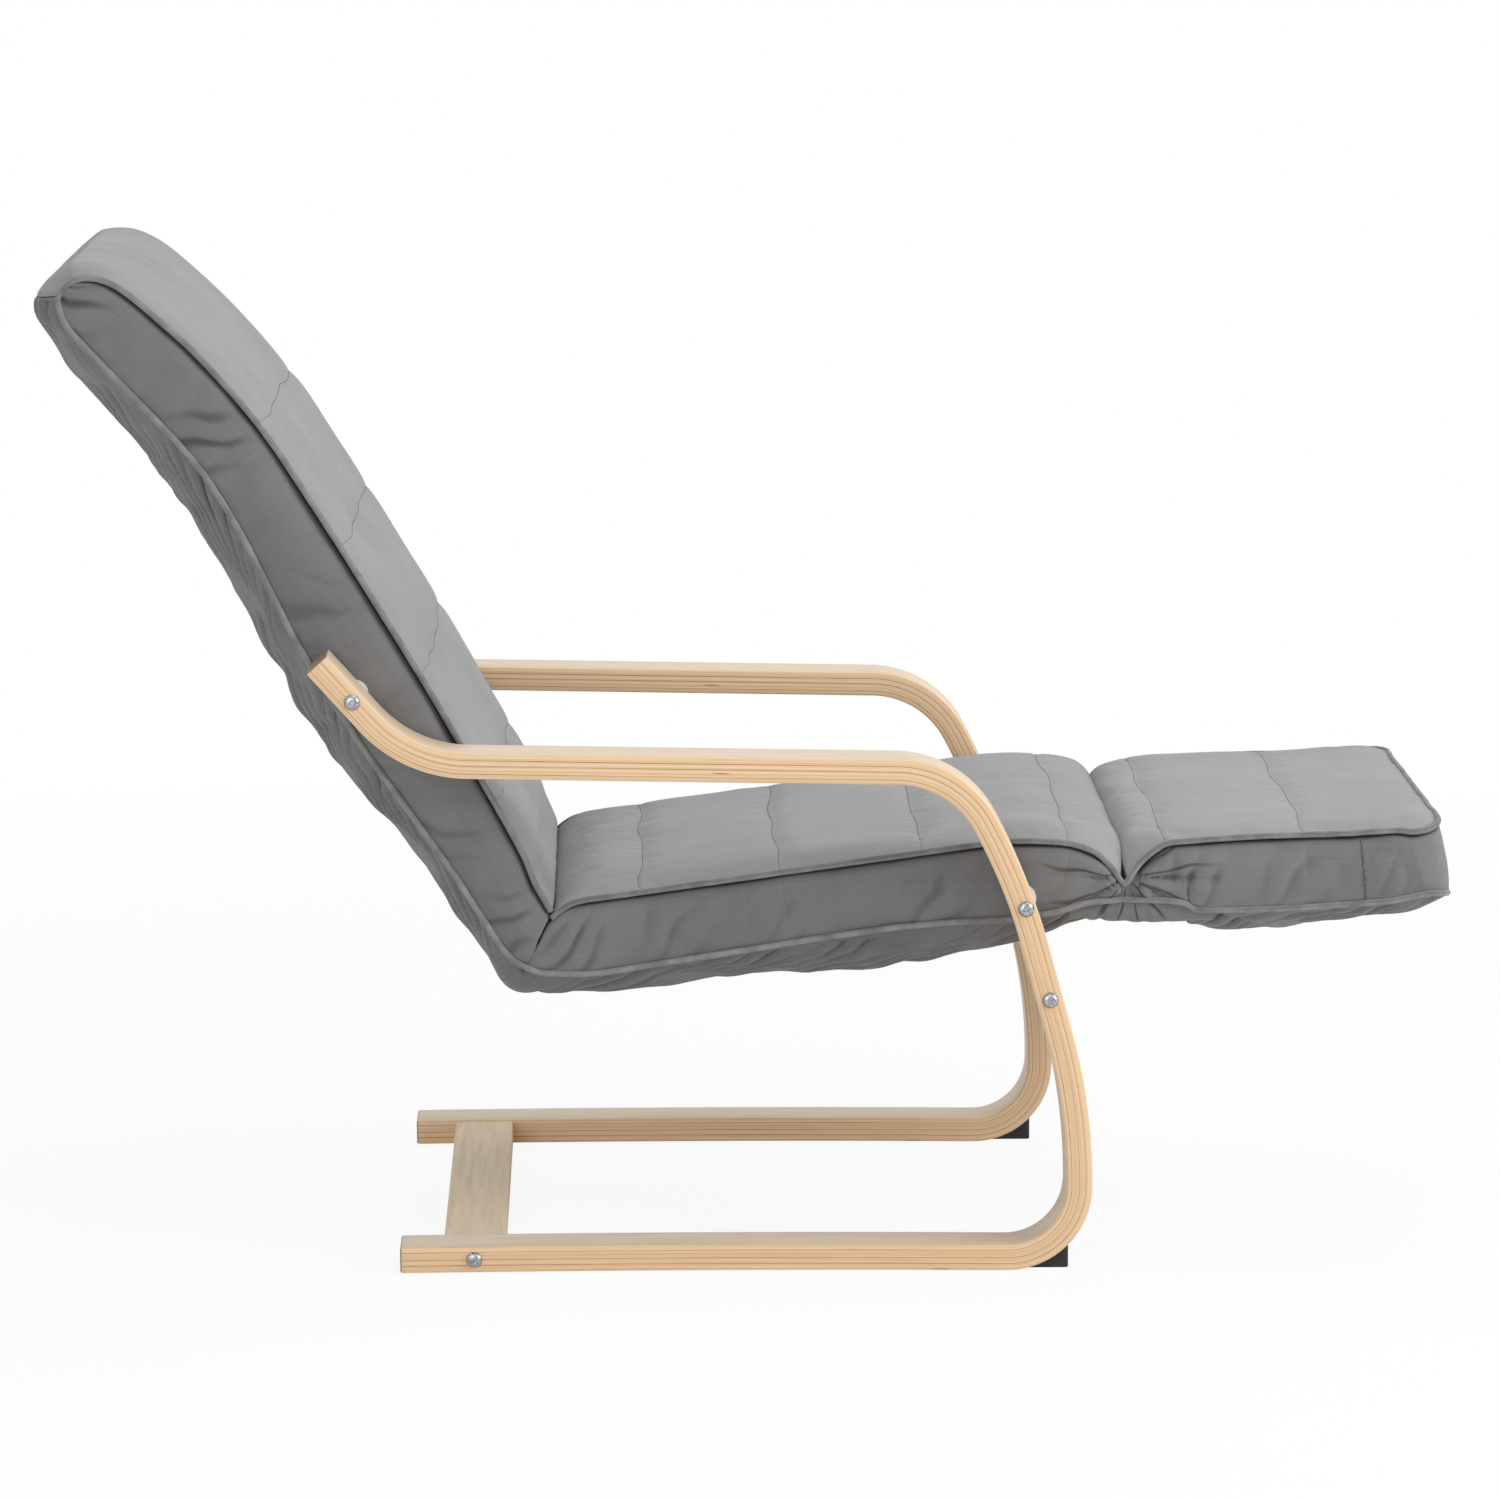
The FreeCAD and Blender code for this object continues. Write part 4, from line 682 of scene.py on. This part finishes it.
def bolts():
    """The bolts through the side frames, one shape on each hole of (x, z, heading)."""
    outer_y = FRAME_INNER_Y + FRAME_WIDTH
    toe_end = FRAME.steps[2][0]
    for name, node, length, holes in (
            ("base_bolts", "crossbar_bolts", 106.0, (FRAME.walk(74.0), FRAME.walk(toe_end + 193.6))),
            ("seat_unit_bolts", "seat_bolts", 84.0, (SEAT.walk(501.0), BACK.walk(326.0)))):
        shape = bolt_shape(name + "_shape", length)
        spots = [[Vector((x - ORIGIN_X, side * outer_y, z)) * MM]
                 for x, z, _ in holes for side in (-1.0, 1.0)]
        piece = grow(name, spots, FASTENERS, Fastener=shape, Metal=ZINC)
        bpy.data.objects.remove(shape)
        piece.data.set_sharp_from_angle(angle=math.radians(35.0))
        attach(piece, "chair")
        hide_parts(node)


# Cushions

def value_at(table, along):
    """Value of a table at a distance, on a smooth curve through its pairs."""
    places = [a for a, _ in table]
    values = [v for _, v in table]
    along = min(max(along, places[0]), places[-1])
    i = next(n for n in range(len(places) - 1) if along <= places[n + 1])
    width = places[i + 1] - places[i]
    secant = (values[i + 1] - values[i]) / width
    slopes = []
    for n in (i, i + 1):
        low, high = max(n - 1, 0), min(n + 1, len(places) - 1)
        slope = (values[high] - values[low]) / (places[high] - places[low])
        slope = slope if slope * secant > 0 else 0.0
        slopes.append(math.copysign(min(abs(slope), 3 * abs(secant)), slope))
    t = (along - places[i]) / width
    return (values[i] * (1 + 2 * t) * (1 - t) ** 2 + width * slopes[0] * t * (1 - t) ** 2
            + values[i + 1] * t * t * (3 - 2 * t) - width * slopes[1] * t * t * (1 - t))


def fall(distance, reach):
    """1 at no distance and 0 from reach on."""
    return max(0.0, 1.0 - distance / reach)


def rounded(to_edge, reach, power):
    """0 at the edge and 1 from reach on, with a round shoulder."""
    return 1.0 - fall(to_edge, reach) ** power


def ease(share):
    share = min(max(share, 0.0), 1.0)
    return share * share * (3.0 - 2.0 * share)


class Lattice:
    """Closed surface of a cushion on the outside of a box of cells."""

    def __init__(self, sizes):
        self.sizes = sizes
        begin, end = sizes["front"][0][0], sizes["front"][-1][0]
        knots = [begin] + list(sizes["seams"]) + [end]
        self.stations, self.seam_rows = [], []
        for low, high in zip(knots, knots[1:]):
            inner = high - low - 2 * SEAM_REACH
            steps = max(2, round(inner / CELL))
            self.seam_rows.append(len(self.stations))
            self.stations.append(low)
            self.stations += [low + SEAM_REACH + inner * n / steps for n in range(steps + 1)]
        self.stations.append(end)
        self.seam_rows = self.seam_rows[1:]
        inner = HALF_WIDTH - EDGE_COLUMNS[-1]
        steps = round(2 * inner / CELL)
        self.sides = [-HALF_WIDTH + e for e in EDGE_COLUMNS]
        self.sides += [-inner + 2 * inner * n / steps for n in range(1, steps)]
        self.sides += [HALF_WIDTH - e for e in reversed(EDGE_COLUMNS)]
        self.rows, self.columns, self.layers = len(self.stations) - 1, len(self.sides) - 1, BOXING_ROWS + 2
        self.index, self.points, self.place, self.faces = {}, [], [], []
        self.cover()

    def drops(self, height):
        """Distances of the boxing's rows below the front piping, from the rear piping up."""
        squeeze = min(1.0, height / 34.0)
        groove, lip, tuck = GROOVE_DROP * squeeze, LIP_DROP * squeeze, REAR_TUCK * squeeze
        inside = [lip + (height - tuck - lip) * n / (BOXING_ROWS - 1) for n in range(BOXING_ROWS)]
        return [height] + inside[::-1] + [groove, 0.0]

    def position(self, i, j, k):
        sizes, along, y = self.sizes, self.stations[i], self.sides[j]
        begin, end = self.stations[0], self.stations[-1]
        front, middle, rear, belly = (value_at(sizes[key], along)
                                      for key in ("front", "middle", "rear", "belly"))
        to_edge = HALF_WIDTH - abs(y)
        dome = rounded(to_edge, DOME_REACH, DOME_POWER)
        high = front + (middle - front) * dome
        if i in self.seam_rows:
            high -= SEAM_DEPTH * ease(to_edge / 8.0)
        low = rear + (belly - rear) * rounded(to_edge, SAG_REACH, SAG_POWER)
        drop = self.drops(front - rear)[k] / (front - rear)
        across = high - (high - low) * drop
        bulge = BOXING_BULGE * math.sin(math.pi * drop)
        if abs(y) == HALF_WIDTH:
            tucks = {0: 1.0, 1: REAR_TUCK_DEPTH, self.layers: 1.0,
                     self.layers - 1: GROOVE_DEPTH, self.layers - 2: -LIP_OUT}
            y = math.copysign(HALF_WIDTH + bulge - tucks.get(k, 0.0), y)
        place = along
        if sizes["mitre"]:
            lean = across / math.tan(math.radians(MITRE_ANGLE))
            lean += MITRE_GAP * ease((across - 4.0) / 22.0) - MITRE_OVERLAP
            place += lean * fall(along, MITRE_REACH)
        if sizes["lean"]:
            near = along - begin if sizes["lean"] > 0 else end - along
            place += sizes["lean"] * (front - min(across, front)) * fall(near, END_REACH)
        near_start, near_end = fall(along - begin, END_REACH), fall(end - along, END_REACH)
        place += dome * (sizes["over"][0] * near_start ** 1.5 + sizes["over"][1] * near_end ** 1.5)
        if sizes["plan_corner"]:
            upper = ease((across + 20.0) / 70.0)
            corner = sizes["plan_corner"] * (0.7 + (FAR_CORNER if y > 0.0 else NEAR_CORNER) * upper)
            past = max(0.0, corner - to_edge) / corner
            place -= corner * (1.0 - math.sqrt(1.0 - past * past)) * fall(end - along, CORNER_REACH)
            place -= CORNER_LEAN * upper * near_end
        inside = ease((along - begin) / END_REACH) * ease((end - along) / END_REACH)
        wander = lump(y / WANDER_ACROSS, along / WANDER_ALONG, 12.0)
        place += SEAM_WANDER * wander * ease(to_edge / 20.0) * inside
        return sizes["trace"].at(place, sizes["sign"] * across, y)

    def corner(self, i, j, k):
        key = (i, j, k)
        if key not in self.index:
            self.index[key] = len(self.points)
            self.points.append(self.position(i, j, k))
            # kind picks the cotton's painted light: 0 top panel (lighter), 0.5 the groove row (painted
            # shade), 1 boxing and 2 sleeve (darker, painted shade); it also picks the swell and the folds.
            kind = {0: 2.0, self.layers: 0.0, self.layers - 1: 0.5}.get(k, 1.0)
            if i == self.rows and self.sizes["sign"] < 0 and 0 < j < self.columns:
                kind = 0.0
            girth = self.sides[j] * MM
            if 0 < k < self.layers:
                girth += math.copysign(GIRTH_OF_BOXING * MM * (1.0 - k / self.layers), girth)
            self.place.append((self.stations[i] * MM + self.sizes["cloth_start"], girth, kind))
        return self.index[key]

    def quad(self, *corners):
        face = tuple(self.corner(*c) for c in corners)
        self.faces.append(face if self.sizes["sign"] > 0 else face[::-1])

    def cover(self):
        rows, columns, layers = self.rows, self.columns, self.layers
        for i in range(rows):
            for j in range(columns):
                self.quad((i, j, layers), (i + 1, j, layers), (i + 1, j + 1, layers), (i, j + 1, layers))
                self.quad((i, j + 1, 0), (i + 1, j + 1, 0), (i + 1, j, 0), (i, j, 0))
            for k in range(layers):
                self.quad((i, 0, k), (i + 1, 0, k), (i + 1, 0, k + 1), (i, 0, k + 1))
                self.quad((i, columns, k + 1), (i + 1, columns, k + 1), (i + 1, columns, k), (i, columns, k))
        for j in range(columns):
            for k in range(layers):
                self.quad((0, j + 1, k), (0, j, k), (0, j, k + 1), (0, j + 1, k + 1))
                self.quad((rows, j, k), (rows, j + 1, k), (rows, j + 1, k + 1), (rows, j, k + 1))

    def pins(self):
        """The sewn and piped points, which stay where they are."""
        held = {}
        for (i, j, k), number in self.index.items():
            on_side = j in (0, self.columns)
            piped = on_side and k in (0, self.layers, self.layers - 1)
            if piped or i == 0 or (i == self.rows and (on_side or k in (0, self.layers))):
                held[number] = 1.0
            elif k == self.layers and i in self.seam_rows:
                held[number] = 1.0
        return held

    def line(self, points, places):
        """The points at places (row, column, layer) of the lattice."""
        return [points[self.index[place]] for place in places]


def inflate(piece, pinned, loose):
    """Fills a cushion by a cloth simulation, whose result is kept in its mesh."""
    rest = coordinates(piece)
    kinds = np.array([a.vector[2] for a in piece.data.attributes["cloth"].data])
    pins = piece.vertex_groups.new(name="pins")
    for i, weight in pinned.items():
        pins.add([i], weight, "REPLACE")
    slack = piece.vertex_groups.new(name="slack")
    slack.add(loose, 1.0, "REPLACE")
    cloth = piece.modifiers.new("cloth", "CLOTH")
    for key, value in FILLING.items():
        setattr(cloth.settings, key, value)
    cloth.settings.vertex_group_mass = "pins"
    cloth.settings.vertex_group_shrink = "slack"
    cloth.settings.effector_weights.gravity = 0.0
    cloth.collision_settings.use_collision = False
    scene = bpy.context.scene
    for step in range(1, FILLING_STEPS + 1):
        scene.frame_set(step)
    graph = bpy.context.evaluated_depsgraph_get()
    evaluated = piece.evaluated_get(graph).data
    swollen = np.array([v.co for v in evaluated.vertices])
    move = swollen - rest
    length = np.linalg.norm(move, axis=1, keepdims=True)
    limits = np.select([kinds > 1.5, kinds > 0.4], [MOST_SWELL["sleeve"], MOST_SWELL["boxing"]],
                       MOST_SWELL["panel"])[:, None] * MM
    move *= np.minimum(1.0, limits / np.maximum(length, 1e-9))
    piece.modifiers.remove(cloth)
    scene.frame_set(1)
    piece.data.vertices.foreach_set("co", (rest + move).ravel())
    piece.vertex_groups.clear()
    piece.data.update()


def smooth_once(piece):
    modifier = piece.modifiers.new("smooth", "SUBSURF")
    modifier.levels = modifier.render_levels = 1
    return keep_result(piece)


def valley(phase):
    """A row of narrow valleys with broad ridges between them, from -1 to 0."""
    return -(1.0 - abs(math.sin(phase))) ** 1.6


def lump(x, y, z=0.0):
    """Smooth noise of about -0.5 to 0.5."""
    return noise.noise(Vector((x, y, z)))


GATHER_REACH, GATHER_CORE, GATHER_HEIGHT = 125.0, 14.0, 6.5
SLEEVE_FOLD, SLEEVE_LUMP = 8.5, 3.0
BOXING_FOLD, BOXING_LUMP, BOXING_SHADE, BOXING_LEAN = 3.8, 1.2, 3.0, 62.0
FOLD_WIDTH = 12.0


def gather(x, z):
    """Height in mm of the folds that run to the notch over the hinge."""
    dx, dz = x - NOTCH[0], z - NOTCH[1]
    reach = math.hypot(dx, dz)
    angle = math.atan2(dz, dx)
    fold = valley(angle * 6.0 + 0.9 * lump(angle * 1.7, reach / 90.0, 5.0))
    past_core = ease(reach / GATHER_CORE)
    return ((GATHER_HEIGHT * fold + 2.0) * past_core * (1.0 - ease(reach / GATHER_REACH))
            - 3.0 * (1.0 - past_core))


def sleeve_folds(along, y, edge):
    """Diagonal folds that start at the rear piping and fade towards the middle."""
    warp = 46.0 * lump(along / 75.0, y / 70.0, 2.0)
    strength = max(0.0, 0.5 + 1.5 * lump(along / 60.0, y / 70.0, 9.0))
    near = ease((edge - 3.0) / 12.0) * (1.0 - ease((edge - 40.0) / 140.0))
    fold = valley((along + 1.9 * edge + warp) / FOLD_WIDTH)
    return (SLEEVE_FOLD * (fold + 0.25) * strength * near
            + SLEEVE_LUMP * lump(along / 32.0, y / 150.0, 4.0) * ease(edge / 30.0))


def boxing_folds(along, share, side, lean):
    """Soft folds that climb from the rear piping: (height, how much painted shade their valleys get)."""
    pull = max(0.0, 1.6 * lump(along / 95.0, side * 3.0, 1.0) + 0.3)
    pull *= ease(share * 2.2 - 0.2) * ease((1.0 - share) * 8.0)
    phase = (along + lean * share + 22.0 * lump(along / 55.0, share * 2.0, 7.0)) / FOLD_WIDTH
    height = BOXING_FOLD * (valley(phase) + 0.7) * pull + BOXING_LUMP * lump(along / 40.0, share * 3.0, side)
    return height, BOXING_SHADE * math.cos(phase) ** 4 * pull


def panel_puckers(along, y, edge, seams):
    """Puckers beside the seams across, and a soft unevenness."""
    raised = 1.4 * lump(along / 80.0, y / 60.0, 8.0) * ease(edge / 20.0)
    seam = min(abs(along - s) for s in seams)
    if seam < 30.0:
        spread = max(0.0, 0.35 + 0.8 * lump(y / 60.0, along / 300.0, 3.0))
        raised += 1.8 * lump(y / 9.0, along / 45.0, 6.0) * spread * (1.0 - ease(seam / 30.0))
    return raised


def wrinkle(piece, sizes):
    """Presses folds into a finished cushion."""
    mesh = piece.data
    here = coordinates(piece)
    normals = np.empty(len(mesh.vertices) * 3)
    mesh.vertex_normals.foreach_get("vector", normals)
    normals = normals.reshape(-1, 3)
    cloth = np.array([a.vector[:] for a in mesh.attributes["cloth"].data])
    raised, shade = np.zeros(len(here)), np.zeros(len(here))
    for n, (run, girth, kind) in enumerate(cloth):
        along, y = (run - sizes["cloth_start"]) / MM, here[n][1] / MM
        edge = HALF_WIDTH - abs(y)
        if kind > 1.6:
            raised[n] = sleeve_folds(along, y, edge)
        elif kind > 0.7:
            share = min(max((abs(girth) / MM - HALF_WIDTH) / GIRTH_OF_BOXING, 0.0), 1.0)
            side = math.copysign(1.0, y)
            raised[n], fold_shade = boxing_folds(along, share, side, BOXING_LEAN * sizes["sign"])
            shade[n] = fold_shade + raised[n]
            if edge < 8.0:
                fade = ease((share - 0.1) * 6.0) * ease((1.0 - share) * 6.0)
                raised[n] += gather(here[n][0] / MM + ORIGIN_X, here[n][2] / MM) * fade
        elif kind < 0.3:
            raised[n] = panel_puckers(along, y, edge, sizes["seams"])
    mesh.vertices.foreach_set("co", (here + normals * raised[:, None] * MM).ravel())
    mesh.update()
    # depth is how deep each point lies in its fold, with the boxing folds' painted shade added; the cotton
    # paints shade in the valleys and a highlight on the ridges from it.
    set_layer(piece, "depth", shade - raised, "FLOAT", "value")


def cushion(name, sizes):
    """One upholstered cushion, filled, subdivided and wrinkled. Gives its lattice and points."""
    lattice = Lattice(sizes)
    piece = add_mesh(name + "_cushion", lattice.points, lattice.faces, COTTON)
    set_layer(piece, "cloth", lattice.place)
    loose = [number for (i, j, k), number in lattice.index.items() if k == 0]
    inflate(piece, lattice.pins(), loose)
    smooth_once(piece)
    wrinkle(piece, sizes)
    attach(piece, sizes["body"])
    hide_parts(*sizes["nodes"])
    return lattice, [Vector(p) for p in coordinates(piece)]


def cord(name, chain, body=None, spacing=0.004):
    """Piping: a covered cord along a chain of points."""
    piece = grow(name, [chain], PIPING, Radius=PIPING_RADIUS * MM, Spacing=spacing, Unevenness=0.12,
                 Cover=CORD_COVER)
    if body:
        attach(piece, body)
    return piece


def outward(points, amount):
    """The same points, moved sideways from the chair's middle by an amount in mm."""
    return [Vector((p.x, p.y + math.copysign(amount * MM, p.y), p.z)) for p in points]


def thinned(chain, step=0.012):
    """Every point that is a step or more from the one before, so that the cord runs smoothly."""
    kept = [chain[0]]
    for point in chain[1:-1]:
        if (point - kept[-1]).length >= step and (point - chain[-1]).length >= step / 2:
            kept.append(point)
    return kept + [chain[-1]]


def piping(made):
    for word, side in (("right", 0), ("left", 1)):
        lines = {}
        for name, (lattice, points) in made.items():
            for edge, k in (("front", lattice.layers), ("rear", 0)):
                rows = [(i, side * lattice.columns, k) for i in range(lattice.rows + 1)]
                lines[name, edge] = lattice.line(points, rows)
        loop = lines["back", "front"] + lines["back", "rear"][:0:-1] + lines["seat", "rear"][1:]
        cord("piping_outer_" + word, thinned(outward(loop, 3.2)), "chair")
        cord("piping_seat_" + word, thinned(outward(lines["seat", "front"], 1.0)), "chair")
        y = lines["seat", "front"][-1].y
        for edge, low, step, ends in (("rear", -5.5, 2.4, (BAND_START, BAND_END)),
                                      ("front", 10.5, 1.2, (SEAT_END, FOOTREST_START))):
            between = SEAT.at(SEAT_STOP + 4.0, low, y / MM)
            bridge = lines["seat", edge][-4:] + [between] + lines["footrest", edge][:4]
            piece = cord("piping_hinge_%s_%s" % (edge, word), outward(bridge, step), spacing=0.0015)
            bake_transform(piece)
    lattice, points = made["footrest"]
    for edge, k in (("front", lattice.layers), ("rear", 0)):
        path = [(i, 0, k) for i in range(lattice.rows)]
        path += [(lattice.rows, j, k) for j in range(lattice.columns + 1)]
        path += [(i, lattice.columns, k) for i in range(lattice.rows - 1, -1, -1)]
        chain = outward(lattice.line(points, path), 1.6)
        cord("piping_footrest_" + edge, thinned(chain, 0.007), "footrest")


def stitches(made):
    """Rows of stitches along the seams across each cushion."""
    for body, names in (("chair", ("back", "seat")), ("footrest", ("footrest",))):
        chains = []
        for name in names:
            lattice, points = made[name]
            for row in lattice.seam_rows:
                across = [(row, j, lattice.layers) for j in range(1, lattice.columns)]
                chains.append(lattice.line(points, across))
            beside = CUSHIONS[name]["boxing_seam"]
            if not beside:
                continue
            row = int(np.argmin(abs(np.array(lattice.stations) - beside)))
            for word, j in (("right", 0), ("left", lattice.columns)):
                upwards = lattice.line(points, [(row, j, k) for k in range(lattice.layers - 1)])
                piece = grow("boxing_seam_" + word, [outward(upwards, 0.1)], PIPING, Radius=0.0011,
                             Spacing=0.003, Unevenness=0.2, Cover=THREAD)
                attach(piece, body)
        piece = grow("seam_stitches_" + body, chains, STITCHES, Pitch=0.0036, Length=0.0027,
                     Width=0.0009, Thread=THREAD)
        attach(piece, body)


# Fabric across the hinges

BAND_START = tuple(SEAT.at(SEAT_STOP - 2.0, 0.0, 0.0))
BAND_END = tuple(FOOTREST.at(BAND_STOP, 0.0, 0.0))
SEAT_END = tuple(SEAT.at(SEAT_STOP, 0.0, 0.0))
FOOTREST_START = tuple(FOOTREST.at(FOOTREST_BEGIN, 0.0, 0.0))
BAND_ON_SEAT, BAND_ON_FOOTREST, HINGE_COVER = 545.0, 72.0, 22.5
BAND_DEPTH, BAND_DEEPENS, BAND_FOLD, BAND_CORNER = 29.0, 6.0, 3.6, 15.0
CORNER_LOW, CORNER_SAG, SKIN = 7.5, 27.5, 5.0


def band_top(distance):
    """Height of the fabric over the hinge, at a distance from the pivot along either cushion."""
    if distance < HINGE_COVER * 0.8:
        return math.sqrt(HINGE_COVER ** 2 - distance ** 2)
    return HINGE_COVER * 0.6 - 0.12 * (distance - HINGE_COVER * 0.8)


def band_section(high, depth, half):
    """Outline of the band across the chair: (height, side), from the top round to the top."""
    corner = BAND_CORNER
    turns = [math.pi / 2 * n / 5.0 for n in range(6)]
    wall = [high - (high + depth - corner) * n / 12.0 for n in range(1, 12)]
    ring = [(high, half * n / 32.0) for n in range(-32, 33)]
    ring += [(z, half) for z in wall]
    ring += [(corner - depth - corner * math.sin(t), half - corner + corner * math.cos(t)) for t in turns]
    ring += [(-depth, (half - corner) * (1.0 - 2.0 * n / 64.0)) for n in range(1, 64)]
    ring += [(corner - depth - corner * math.cos(t), corner - half - corner * math.sin(t)) for t in turns]
    return ring + [(z, -half) for z in wall[::-1]]


def hinge_band():
    """Gathered fabric round both hinges."""
    stations = [(SEAT, BAND_ON_SEAT + n * (SEAT.length - BAND_ON_SEAT) / 24) for n in range(24)]
    stations += [(FOOTREST, BAND_ON_FOOTREST * n / 22) for n in range(23)]
    points, place = [], []
    for number, (trace, along) in enumerate(stations):
        distance = SEAT.length - along if trace is SEAT else along
        progress = number / (len(stations) - 1)
        half = HALF_WIDTH - 3.5 - 3.0 * ease((distance - 20.0) / 30.0)
        ring = band_section(band_top(distance), BAND_DEPTH + BAND_DEEPENS * progress, half)
        for m, (across, y) in enumerate(ring):
            base = trace.at(along, across, y)
            if abs(y) > half - 1.0:
                base.y += math.copysign(gather(base.x / MM + ORIGIN_X, base.z / MM) * MM, y)
            elif across < 0.0:
                swell = max(0.0, 0.45 + lump(y / 45.0, progress * 3.0, 8.0))
                bend = 1.5 * lump(y / 30.0, progress * 5.0, 1.0)
                base.z += BAND_FOLD * MM * swell * -valley(progress * 24.0 + bend)
            points.append(base)
            place.append((along * MM + (2.0 if trace is SEAT else 2.0 + SEAT.length * MM), m * 0.0088, 1.0))
    piece = add_mesh("hinge_fabric_band", points, tube_faces(len(stations), len(ring)), COTTON)
    set_layer(piece, "cloth", place)
    smooth_once(piece)
    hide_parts("hinge_fabric")
    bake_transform(piece)


def corner_sleeve():
    """The sleeve where it passes round the corner between back and seat."""
    along_ways, columns = (4.0, 12.0, 22.0, 34.0), 66
    stations = [(BACK, along) for along in along_ways[::-1]]
    stations += [(None, turn / 6.0) for turn in range(7)]
    stations += [(SEAT, along) for along in along_ways]
    widths = [(HALF_WIDTH - 1.0) * (2.0 * m / columns - 1.0) for m in range(columns + 1)]
    outline = [(0.0, y) for y in widths] + [(SKIN, y) for y in widths[::-1]]
    points, place = [], []
    for n, (trace, amount) in enumerate(stations):
        proud = 1.2 - 4.0 * abs(2.0 * n / (len(stations) - 1) - 1.0) ** 3
        for inner, y in outline:
            low = -CORNER_LOW - CORNER_SAG * rounded(HALF_WIDTH - abs(y), SAG_REACH, SAG_POWER)
            low += inner - proud
            if trace:
                spot = trace.at(amount, low if trace is SEAT else -low, y)
            else:
                lean = low / math.tan(math.radians(MITRE_ANGLE))
                spot = (BACK.at(0.0, -low, y) * (1.0 - amount) ** 2
                        + SEAT.at(lean, low, y) * (2.0 * amount * (1.0 - amount))
                        + SEAT.at(0.0, low, y) * amount ** 2)
            points.append(spot)
            place.append((n * 0.008, y * MM, 2.0))
    faces = [f[::-1] for f in tube_faces(len(stations), len(outline))]
    piece = add_mesh("corner_sleeve", points, faces, COTTON)
    set_layer(piece, "cloth", place)
    smooth_once(piece)
    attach(piece, "chair")


# Camera, floor and light. Camera: place in mm, turns in degrees, lens and sensor in mm.
# Lights: name, place, width and power.
CAMERA_PLACE, CAMERA_TURNS = (-143.76, -6800.56, 1532.66), (81.179, 0.0, -1.2745)
LENS, SENSOR = 158.84, 36.0
FLOOR_REACH = 45.0
LIGHTS = (("key", (3.5, -1.6, 2.2), 2.2, 106.0), ("fill", (-1.8, -4.4, 1.8), 3.2, 62.0),
          ("top", (0.2, 1.2, 3.8), 2.6, 30.0))
LIGHTS_AIM = (0.0, 0.0, 0.45)


def camera():
    data = bpy.data.cameras.new("camera")
    data.sensor_width = SENSOR
    data.lens = LENS
    data.clip_end = 100.0
    made = link("camera", data)
    made.location = Vector(CAMERA_PLACE) * MM
    made.rotation_euler = Euler([math.radians(turn) for turn in CAMERA_TURNS])
    bpy.context.scene.camera = made


def floor():
    """Pale floor that fades to white for the camera but keeps the chair's shadow."""
    mesh = bpy.data.meshes.new("floor")
    corners = ((-1, -1), (1, -1), (1, 1), (-1, 1))
    mesh.from_pydata([(x * FLOOR_REACH, y * FLOOR_REACH, 0) for x, y in corners], [], [(0, 1, 2, 3)])
    made, net, shader = blank_material("pale_floor")
    net.put(shader.inputs["Base Color"],
            net.mix(net.noise(net.place(), 3.0), (0.93, 0.93, 0.93, 1.0), (0.95, 0.95, 0.95, 1.0)))
    shader.inputs["Roughness"].default_value = 0.9
    seen = net.node("ShaderNodeLightPath", out="Is Camera Ray")
    x, y, _ = net.place().parts()
    far = (x * x + y * y).rise(1.0, 9.0)
    glow = net.node("ShaderNodeEmission", (1.0, 1.0, 1.0, 1.0), 1.0)
    pale = net.node("ShaderNodeMixShader", seen * (0.9 + 0.1 * far), Value(net, shader.outputs[0]), glow)
    net.put(made.node_tree.nodes["Material Output"].inputs["Surface"], pale)
    mesh.materials.append(made)
    link("floor", mesh)


def lights():
    world = bpy.data.worlds.new("surround")
    bpy.context.scene.world = world
    world.use_nodes = True
    net = Net(world.node_tree)
    path = net.node("ShaderNodeLightPath", out="Is Camera Ray")
    seen = path.maximum(path.other("Is Glossy Ray")).maximum(path.other("Is Transmission Ray"))
    background = world.node_tree.nodes["Background"]
    background.inputs["Color"].default_value = (1.0, 1.0, 1.0, 1.0)
    net.put(background.inputs["Strength"], seen * 0.55 + 0.45)
    for name, where, size, power in LIGHTS:
        data = bpy.data.lights.new(name, "AREA")
        data.size = size
        data.energy = power
        lamp = link(name, data)
        lamp.location = where
        lamp.rotation_euler = (Vector(LIGHTS_AIM) - lamp.location).to_track_quat("-Z", "Y").to_euler()


bpy.context.scene.view_settings.view_transform = "Standard"
camera()
finish_cad_nodes()
for word, side in (("right", -1.0), ("left", 1.0)):
    side_frame(word, side)
bolts()
made = {name: cushion(name, sizes) for name, sizes in CUSHIONS.items()}
piping(made)
stitches(made)
hinge_band()
corner_sleeve()
floor()
lights()
